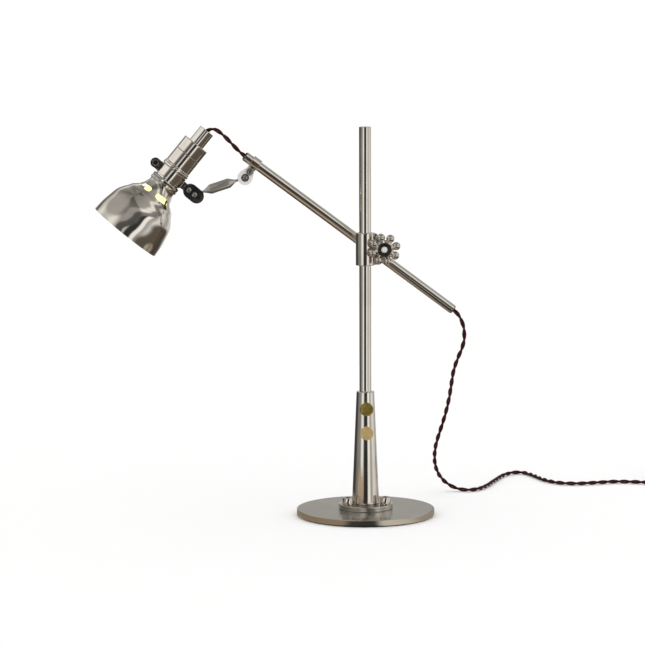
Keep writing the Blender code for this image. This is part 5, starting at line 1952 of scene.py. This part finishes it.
@dataclass
class HeadLead(TwistedCord):
    """The short lead from the arm's end to the head, in one length for each joint it crosses."""

    route: tuple[tuple[float, float, float], ...] = (
        (-229.1, 22.0, 491.4), (-223.8, 22.0, 497.9), (-219.1, 22.0, 503.6), (-216.0, 22.0, 507.4),
        (-212.8, 22.0, 511.3), (-208.6, 22.0, 515.7), (-202.6, 22.0, 518.5), (-195.8, 22.0, 517.1),
        (-186.4, 22.0, 509.9), (-176.4, 22.0, 499.7), (-166.5, 22.0, 489.3), (-158.6, 22.0, 482.7),
        (-150.9, 22.0, 476.9), (-141.7, 22.0, 470.0),
    )
    spacing: float = 1.5
    # no length is stated shorter than this many widths
    least_widths: float = 6.02  # the least length, in widths, worked out for each piece; the result is not kept
    bodies: tuple[str, ...] = ("head", "knuckle_b", "link", "knuckle_a", "arm")

    def build(self) -> None:
        """Builds the lead."""
        path = spline_points(self.route, self.spacing * MM)
        count = len(self.bodies) - 1
        marks = [round(i * (len(path) - 1) / count) for i in range(count + 1)]
        names = [f"head_lead_length_{i + 1}" for i in range(count)]
        lengths = self.lay(path, [(n, marks[i], marks[i + 1]) for i, n in enumerate(names)])
        for i, name in enumerate(names):
            part = path[marks[i]:marks[i + 1] + 1]
            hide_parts("head_lead")
            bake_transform(lengths[name])
            max(self.run(part), self.least_widths * self.stated_width * MM)


@dataclass
class MainsCord(TwistedCord):
    """The mains cord: it hangs from the arm, runs over the table and ends in a coil and a plug."""

    hanging: tuple[tuple[float, float, float], ...] = (
        (112.9, 22.0, 279.7), (120.4, 22.0, 274.0), (128.4, 22.6, 265.6), (134.7, 25.0, 251.2),
        (136.6, 30.0, 235.0), (134.6, 37.0, 220.5), (129.4, 46.0, 204.0), (125.4, 56.0, 187.0),
        (123.6, 65.0, 169.0), (122.0, 76.0, 149.0), (119.6, 87.0, 130.0), (116.0, 98.0, 111.0),
        (111.6, 109.0, 92.0), (108.2, 120.0, 74.0), (107.8, 132.0, 57.0), (110.4, 144.0, 41.0),
        (117.0, 156.0, 26.0), (127.0, 165.0, 14.0), (139.0, 168.0, 6.2), (151.0, 163.0, 3.4),
        (163.0, 161.0, 3.2), (176.0, 170.0, 3.2), (190.0, 194.0, 3.2), (207.0, 236.0, 3.2),
        (225.0, 277.0, 3.2), (242.0, 297.0, 3.2), (257.0, 296.0, 3.2), (268.0, 270.0, 3.2),
        (277.0, 236.0, 3.2), (293.0, 209.0, 3.2), (318.0, 198.0, 3.2), (348.0, 203.0, 3.2),
        (378.0, 209.0, 3.2), (408.0, 203.0, 3.2), (434.0, 192.0, 3.2), (456.0, 187.8, 3.2),
    )
    coil_centre: Pair = (480.0, 225.0)
    layers: tuple[float, float, float] = (3.2, 9.2, 14.5)
    coil_radii: Pair = (37.1, 31.0)
    tail: tuple[tuple[float, float, float], ...] = (
        (514.0, 240.5, 17.0), (506.6, 252.6, 20.8), (500.0, 257.6, 23.0), (492.0, 259.0, 23.6),
    )
    spans: tuple[float, ...] = (50.0, 56.0, 112.0, 150.0)
    bodies: tuple[str, ...] = ("arm", "arm_clamp", "collar", "carriage", "stand")

    def coil(self) -> list[tuple[float, float, float]]:
        """Knots of the coil's turns: two side by side, two more on top, and one over those."""
        outer, inner = self.coil_radii
        ground, upper, crest = self.layers
        stages = (
            (0, outer, ground), (275, outer, ground), (325, inner, ground), (575, inner, ground),
            (640, inner, upper), (945, inner, upper), (1000, outer, upper), (1350, outer, upper),
            (1400, 34.0, crest), (1500, 35.0, crest), (1535, 36.8, crest),
        )
        knots = []
        for degrees in range(0, 1536, 15):
            for (a, ra, za), (b, rb, zb) in zip(stages, stages[1:]):
                if a <= degrees <= b:
                    f = (degrees - a) / (b - a)
                    f = f * f * (3 - 2 * f)
                    angle = math.radians(degrees - 90)
                    radius, height = ra + (rb - ra) * f, za + (zb - za) * f
                    knots.append((
                        self.coil_centre[0] + radius * math.cos(angle),
                        self.coil_centre[1] + radius * math.sin(angle), height,
                    ))
                    break
        return knots

    def build(self, plug: Sequence[bpy.types.Object]) -> None:
        """Builds the cord.

        Args:
            plug: The plug's pieces; not used.
        """
        path = spline_points([*self.hanging, *self.coil(), *self.tail], self.spacing * MM)
        step = (path[1] - path[0]).length
        marks = [0]
        for span in self.spans:
            marks.append(marks[-1] + round(span * MM / step))
        marks.append(len(path) - 1)
        names = [f"mains_cord_length_{i + 1}" for i in range(len(marks) - 1)]
        lengths = self.lay(path, [(n, marks[i], marks[i + 1]) for i, n in enumerate(names)])
        for i, name in enumerate(names):
            part = path[marks[i]:marks[i + 1] + 1]
            last = i == len(names) - 1
            if last:
                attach(lengths[name], "stand")
                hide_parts("mains_coil", "mains_cord")
            else:
                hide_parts("mains_cord")
                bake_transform(lengths[name])
            self.run(part)
        LOG.info("mains cord: %.3f m", self.run(path))


@dataclass
class Plug:
    """The two-blade plug on the coil."""

    shop: Shop
    centre: tuple[float, float, float] = (480.0, 259.0, 23.6)
    half: float = 15.0
    radius: float = 10.5
    blade: tuple[float, float, float] = (17.0, 1.5, 6.3)
    blade_gap: float = 12.7

    def build(self) -> list[bpy.types.Object]:
        """Builds the plug.

        Returns:
            Its body and blades.
        """
        axes = shift(*self.centre) @ turn(-90, "Y")
        grips: list[tuple[float, ...]] = []
        for i in range(4):
            z = 0.5 - 3.0 * i
            radius = 10.2 - 0.85 * i
            grips += [(radius, z, 0.3), (radius - 0.7, z - 0.9, 0.3), (radius - 0.75, z - 1.8, 0.3)]
        body = lathe(
            "plug_moulded_body",
            [(0.0, self.half), (self.radius, self.half, 1.4), (self.radius, 3.0, 0.8), *grips,
             (5.6, -12.5, 0.6), (4.4, -self.half, 0.6), (3.2, -self.half, 0.3), (3.2, -13.5), (0.0, -13.5)],
            axes, 72,
        )
        self.shop.fit(body, "stand", PLUG_PLASTIC, ["plug_body"])
        pieces = [body]
        length, thick, tall = self.blade
        for name, sign in (("left", 1), ("right", -1)):
            middle = sign * self.blade_gap / 2
            outline = [
                (-tall / 2, self.half - 5.0), (tall / 2, self.half - 5.0),
                (tall / 2, self.half + length - 1.6), (tall / 2 - 1.2, self.half + length),
                (1.2 - tall / 2, self.half + length), (-tall / 2, self.half + length - 1.6),
            ]
            hole = circle(1.5, (0.0, self.half + length - 4.2), 24)
            blade = plate(
                f"plug_pin_{name}", [outline, hole], -middle - thick / 2, -middle + thick / 2,
                axes @ FORWARD, 0.2,
            )
            self.shop.fit(blade, "stand", BRIGHT_BRASS, [f"plug_blade_{name}"])
            pieces.append(blade)
        return pieces


# Studio -----------------------------------------------------------------------------------------

@dataclass
class Studio:
    """The pale floor, the soft surroundings and the camera."""

    aim: tuple[float, float, float] = (-0.05725, 0.0, 0.26111)
    distance: float = 3.6
    azimuth: float = -4.0
    eye: float = 0.674
    lens: float = 151.7
    roll: float = -0.196
    white: float = 1.02

    def camera(self) -> None:
        """Sets up the camera."""
        side = math.radians(self.azimuth)
        aim = Vector(self.aim)
        place = Vector((
            aim.x + self.distance * math.sin(side), -self.distance * math.cos(side), self.eye,
        ))
        forward = (aim - place).normalized()
        right = forward.cross(Vector((0.0, 0.0, 1.0))).normalized()
        up = right.cross(forward)
        lean = math.radians(self.roll)
        rolled_right = right * math.cos(lean) + up * math.sin(lean)
        rolled_up = up * math.cos(lean) - right * math.sin(lean)
        data = bpy.data.cameras.new("camera")
        data.lens = self.lens
        data.sensor_width = 36.0
        data.clip_end = 30.0
        camera = bpy.data.objects.new("camera", data)
        bpy.context.scene.collection.objects.link(camera)
        axes = Matrix((rolled_right, rolled_up, -forward)).transposed().to_4x4()
        camera.matrix_world = Matrix.Translation(place) @ axes
        bpy.context.scene.camera = camera

    def floor(self) -> None:
        """A pale floor that sweeps up far behind, and the warm table top that metal mirrors."""
        work = bmesh.new()
        line = [(-6.0, 0.0), (3.0, 0.0)]
        line += [(3.0 + 1.5 * math.sin(a), 1.5 - 1.5 * math.cos(a)) for a in
                 (math.radians(9 * i) for i in range(1, 11))]
        line.append((4.5, 5.0))
        rows = [[work.verts.new((x, y, z)) for x in (-6.0, 6.0)] for y, z in line]
        for low, high in zip(rows, rows[1:]):
            work.faces.new((low[0], low[1], high[1], high[0]))
        floor = make_object("studio_floor", work, Matrix.Identity(4), 60.0)
        material, sheet, shader = start_material("Pale studio paper")
        place = sheet.add("ShaderNodeTexCoord")
        fibre = sheet.add(
            "ShaderNodeTexNoise", {"Vector": place.outputs["Object"], "Scale": 6.0, "Detail": 3.0},
        )
        tone = sheet.add(
            "ShaderNodeMix", {0: fibre.outputs[0], 6: (0.985, 0.985, 0.982, 1), 7: (0.995, 0.995, 0.993, 1)},
            data_type="RGBA",
        )
        sheet.tree.links.new(tone.outputs[2], shader.inputs["Base Color"])
        shader.inputs["Roughness"].default_value = 1.0
        shader.inputs["Specular IOR Level"].default_value = 0.0
        floor.data.materials.append(material)
        floor.visible_glossy = False

    def table_glow(self) -> None:
        """The wooden table top round the foot, which only shows as a reflection."""
        work = bmesh.new()
        reach, below_floor, corners = 1.3, -0.004, 64
        turns = (2 * math.pi * i / corners for i in range(corners))
        rim = [work.verts.new((reach * math.cos(a), reach * math.sin(a), below_floor)) for a in turns]
        work.faces.new(rim)
        top = make_object("studio_table_reflection", work, Matrix.Identity(4))
        material = bpy.data.materials.new("Warm table reflection")
        material.use_nodes = True
        sheet = NodeSheet(material.node_tree)
        material.node_tree.nodes.clear()
        place = sheet.add("ShaderNodeTexCoord")
        parts = sheet.add("ShaderNodeSeparateXYZ", {0: place.outputs["Object"]})
        forward = sheet.math("MULTIPLY", parts.outputs[1], -1.0)
        angle = sheet.math("ARCTAN2", parts.outputs[0], forward)
        share = sheet.math("ADD", sheet.math("DIVIDE", angle, 2 * math.pi), 0.5)
        near = sheet.add("ShaderNodeValToRGB", {0: share})
        set_ramp(near, tuple(((a + 180) / 360, c) for a, c in (
            (-180, (0.30, 0.26, 0.22)), (-60, (0.36, 0.27, 0.19)), (-30, (0.34, 0.26, 0.19)),
            (-22, (0.04, 0.035, 0.03)), (6, (0.04, 0.035, 0.03)), (14, (0.74, 0.68, 0.60)),
            (44, (0.70, 0.64, 0.56)), (64, (0.42, 0.36, 0.30)), (180, (0.30, 0.26, 0.22)),
        )))
        radius = sheet.add("ShaderNodeVectorMath", {0: place.outputs["Object"]}, operation="LENGTH")
        far_share = sheet.add(
            "ShaderNodeMapRange", {"Value": radius.outputs["Value"], "From Min": 0.24, "From Max": 0.36},
            interpolation_type="SMOOTHSTEP",
        )
        far = sheet.add("ShaderNodeValToRGB", {0: share})
        set_ramp(far, tuple(((a + 180) / 360, c) for a, c in (
            (-180, (0.20, 0.165, 0.13)), (-85, (0.22, 0.18, 0.14)), (-70, (0.52, 0.40, 0.29)),
            (-24, (0.50, 0.39, 0.28)), (-14, (0.12, 0.10, 0.085)), (60, (0.13, 0.11, 0.09)),
            (180, (0.20, 0.165, 0.13)),
        )))
        tone = sheet.add(
            "ShaderNodeMix", {0: far_share.outputs[0], 6: near.outputs[0], 7: far.outputs[0]},
            data_type="RGBA",
        )
        glow = sheet.add("ShaderNodeEmission", {0: tone.outputs[2], 1: 1.0})
        clear = sheet.add("ShaderNodeBsdfTransparent")
        wedge = sheet.add("ShaderNodeValToRGB", {0: share})
        set_ramp(wedge, tuple(((a + 180) / 360, (v, v, v)) for a, v in (
            (-180, 0), (-84, 0), (-72, 1), (-26, 1), (-18, 0), (180, 0),
        )))
        fades = [
            sheet.add("ShaderNodeMapRange", {"Value": radius.outputs["Value"], "From Min": a, "From Max": b},
                      interpolation_type="SMOOTHSTEP").outputs[0]
            for a, b in ((0.20, 0.30), (0.62, 0.80))
        ]
        fade = sheet.add("ShaderNodeMix", {0: wedge.outputs[0], 2: fades[0], 3: fades[1]})
        mixed = sheet.add(
            "ShaderNodeMixShader", {0: fade.outputs[0], 1: glow.outputs[0], 2: clear.outputs[0]},
        )
        out = sheet.add("ShaderNodeOutputMaterial")
        sheet.tree.links.new(mixed.outputs[0], out.inputs[0])
        top.data.materials.append(material)
        top.visible_camera = top.visible_diffuse = top.visible_shadow = top.visible_transmission = False

    def surroundings(self) -> None:
        """White for the eye and the paper; for metal, a studio with dark flags and soft boxes."""
        world = bpy.data.worlds.new("studio")
        bpy.context.scene.world = world
        world.use_nodes = True
        sheet = NodeSheet(world.node_tree)
        world.node_tree.nodes.clear()
        place = sheet.add("ShaderNodeTexCoord")
        parts = sheet.add("ShaderNodeSeparateXYZ", {0: place.outputs["Generated"]})
        forward = sheet.math("MULTIPLY", parts.outputs[1], -1.0)
        angle = sheet.math("ARCTAN2", parts.outputs[0], forward)
        lift = sheet.math("ADD", parts.outputs[2], 0.11)
        slant = sheet.math("MULTIPLY", lift, math.radians(100))
        level = sheet.math("SUBTRACT", angle, slant)
        share = sheet.math("ADD", sheet.math("DIVIDE", level, 2 * math.pi), 0.5)
        bands = sheet.add("ShaderNodeValToRGB", {0: share})
        set_ramp(bands, tuple(((a + 180) / 360, (v, v * 0.98, v * 0.945)) for a, v in (
            (-180, 0.60), (-170, 0.50), (-160, 0.06), (-110, 0.05), (-100, 0.20), (-70, 0.26),
            (-58, 0.34), (-48, 1.0), (-34, 0.85), (-27, 0.40), (-23, 0.035), (9, 0.03), (13, 0.30),
            (17, 1.0), (34, 0.95), (42, 0.36), (58, 0.50), (74, 0.85), (100, 0.62), (122, 0.36),
            (145, 0.66), (180, 0.60),
        )))
        rise = sheet.math("ADD", sheet.math("MULTIPLY", parts.outputs[2], 0.5), 0.5)
        sky = sheet.add("ShaderNodeValToRGB", {0: rise})
        set_ramp(sky, tuple(((z + 1) / 2, c) for z, c in (
            (-1.0, (0.10, 0.08, 0.06)), (-0.5, (0.11, 0.09, 0.07)), (-0.25, (0.12, 0.105, 0.09)),
            (0.2, (0.20, 0.195, 0.185)), (0.40, (0.27, 0.265, 0.25)), (0.47, (0.90, 0.88, 0.84)),
            (0.60, (0.92, 0.90, 0.87)), (0.68, (0.42, 0.41, 0.39)), (0.90, (0.34, 0.33, 0.31)),
            (1.0, (0.26, 0.255, 0.24)),
        )))
        turn_share = sheet.math("ADD", sheet.math("DIVIDE", angle, 2 * math.pi), 0.5)
        boxes = sheet.add("ShaderNodeValToRGB", {0: turn_share})
        set_ramp(boxes, tuple(((a + 180) / 360, (v, v, v)) for a, v in (
            (-180, 0.85), (-150, 0.55), (-120, 1.0), (-45, 1.0), (-25, 0.40), (12, 0.40), (26, 1.0),
            (95, 1.0), (125, 0.60), (180, 0.85),
        )))
        shaped = sheet.add(
            "ShaderNodeMix", {0: 1.0, 6: sky.outputs[0], 7: boxes.outputs[0]}, data_type="RGBA",
            blend_type="MULTIPLY",
        )
        above, below = (
            sheet.add(
                "ShaderNodeMapRange", {"Value": parts.outputs[2], "From Min": near, "From Max": far},
                interpolation_type="SMOOTHSTEP",
            )
            for near, far in ((0.12, 0.24), (-0.22, -0.4))
        )
        outside = sheet.math("MAXIMUM", above.outputs[0], below.outputs[0])
        room = sheet.add(
            "ShaderNodeMix", {0: outside, 6: bands.outputs[0], 7: shaped.outputs[2]}, data_type="RGBA",
        )
        metal_light = sheet.add("ShaderNodeBackground", {0: room.outputs[2], 1: 1.1})
        plain_light = sheet.add("ShaderNodeBackground", {0: (1.0, 1.0, 1.0, 1.0), 1: self.white})
        path = sheet.add("ShaderNodeLightPath")
        mixed = sheet.add(
            "ShaderNodeMixShader", {0: path.outputs["Is Glossy Ray"], 1: plain_light.outputs[0],
                                    2: metal_light.outputs[0]},
        )
        out = sheet.add("ShaderNodeOutputWorld")
        world.node_tree.links.new(mixed.outputs[0], out.inputs[0])

    def build(self) -> None:
        """Builds the studio."""
        self.camera()
        self.floor()
        self.table_glow()
        self.surroundings()
        bpy.context.scene.view_settings.view_transform = "Standard"


def set_ramp(node: bpy.types.Node, stops: Sequence[tuple[float, Sequence[float]]]) -> None:
    """Sets a colour ramp's stops.

    Args:
        node: The ramp.
        stops: Place and colour, in order.
    """
    elements = node.color_ramp.elements
    while len(elements) > 1:
        elements.remove(elements[-1])
    elements[0].position = stops[0][0]
    elements[0].color = rgba(stops[0][1])
    for place, colour in stops[1:]:
        elements.new(place).color = rgba(colour)


def main() -> None:
    """Builds the lamp round the frame, one sub-assembly after another."""
    logging.basicConfig(level=logging.INFO, format="%(message)s")
    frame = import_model()
    Studio().build()
    shop = Shop(frame)
    plug = Plug(shop).build()
    MainsCord(shop).build(plug)
    HeadLead(shop).build()
    Foot(shop).build()
    column = Column(shop)
    column.build()
    # The upper button gets the shaded copy of the brass (painted shade), the lower one the brighter copy.
    for side, height, finish in zip(("upper", "lower"), column.button_heights, (SHADED_BRASS, BRIGHT_BRASS)):
        PushButton(shop, side, height, column.radius(height), finish).build()
    for assembly in (MastCollar, ClampKnob, ArmClamp, Arm, Knuckles, Shade, Lampholder, SocketBand):
        assembly(shop).build()
    LOG.info("%d pieces", shop.count)


if __name__ == "__main__":
    main()
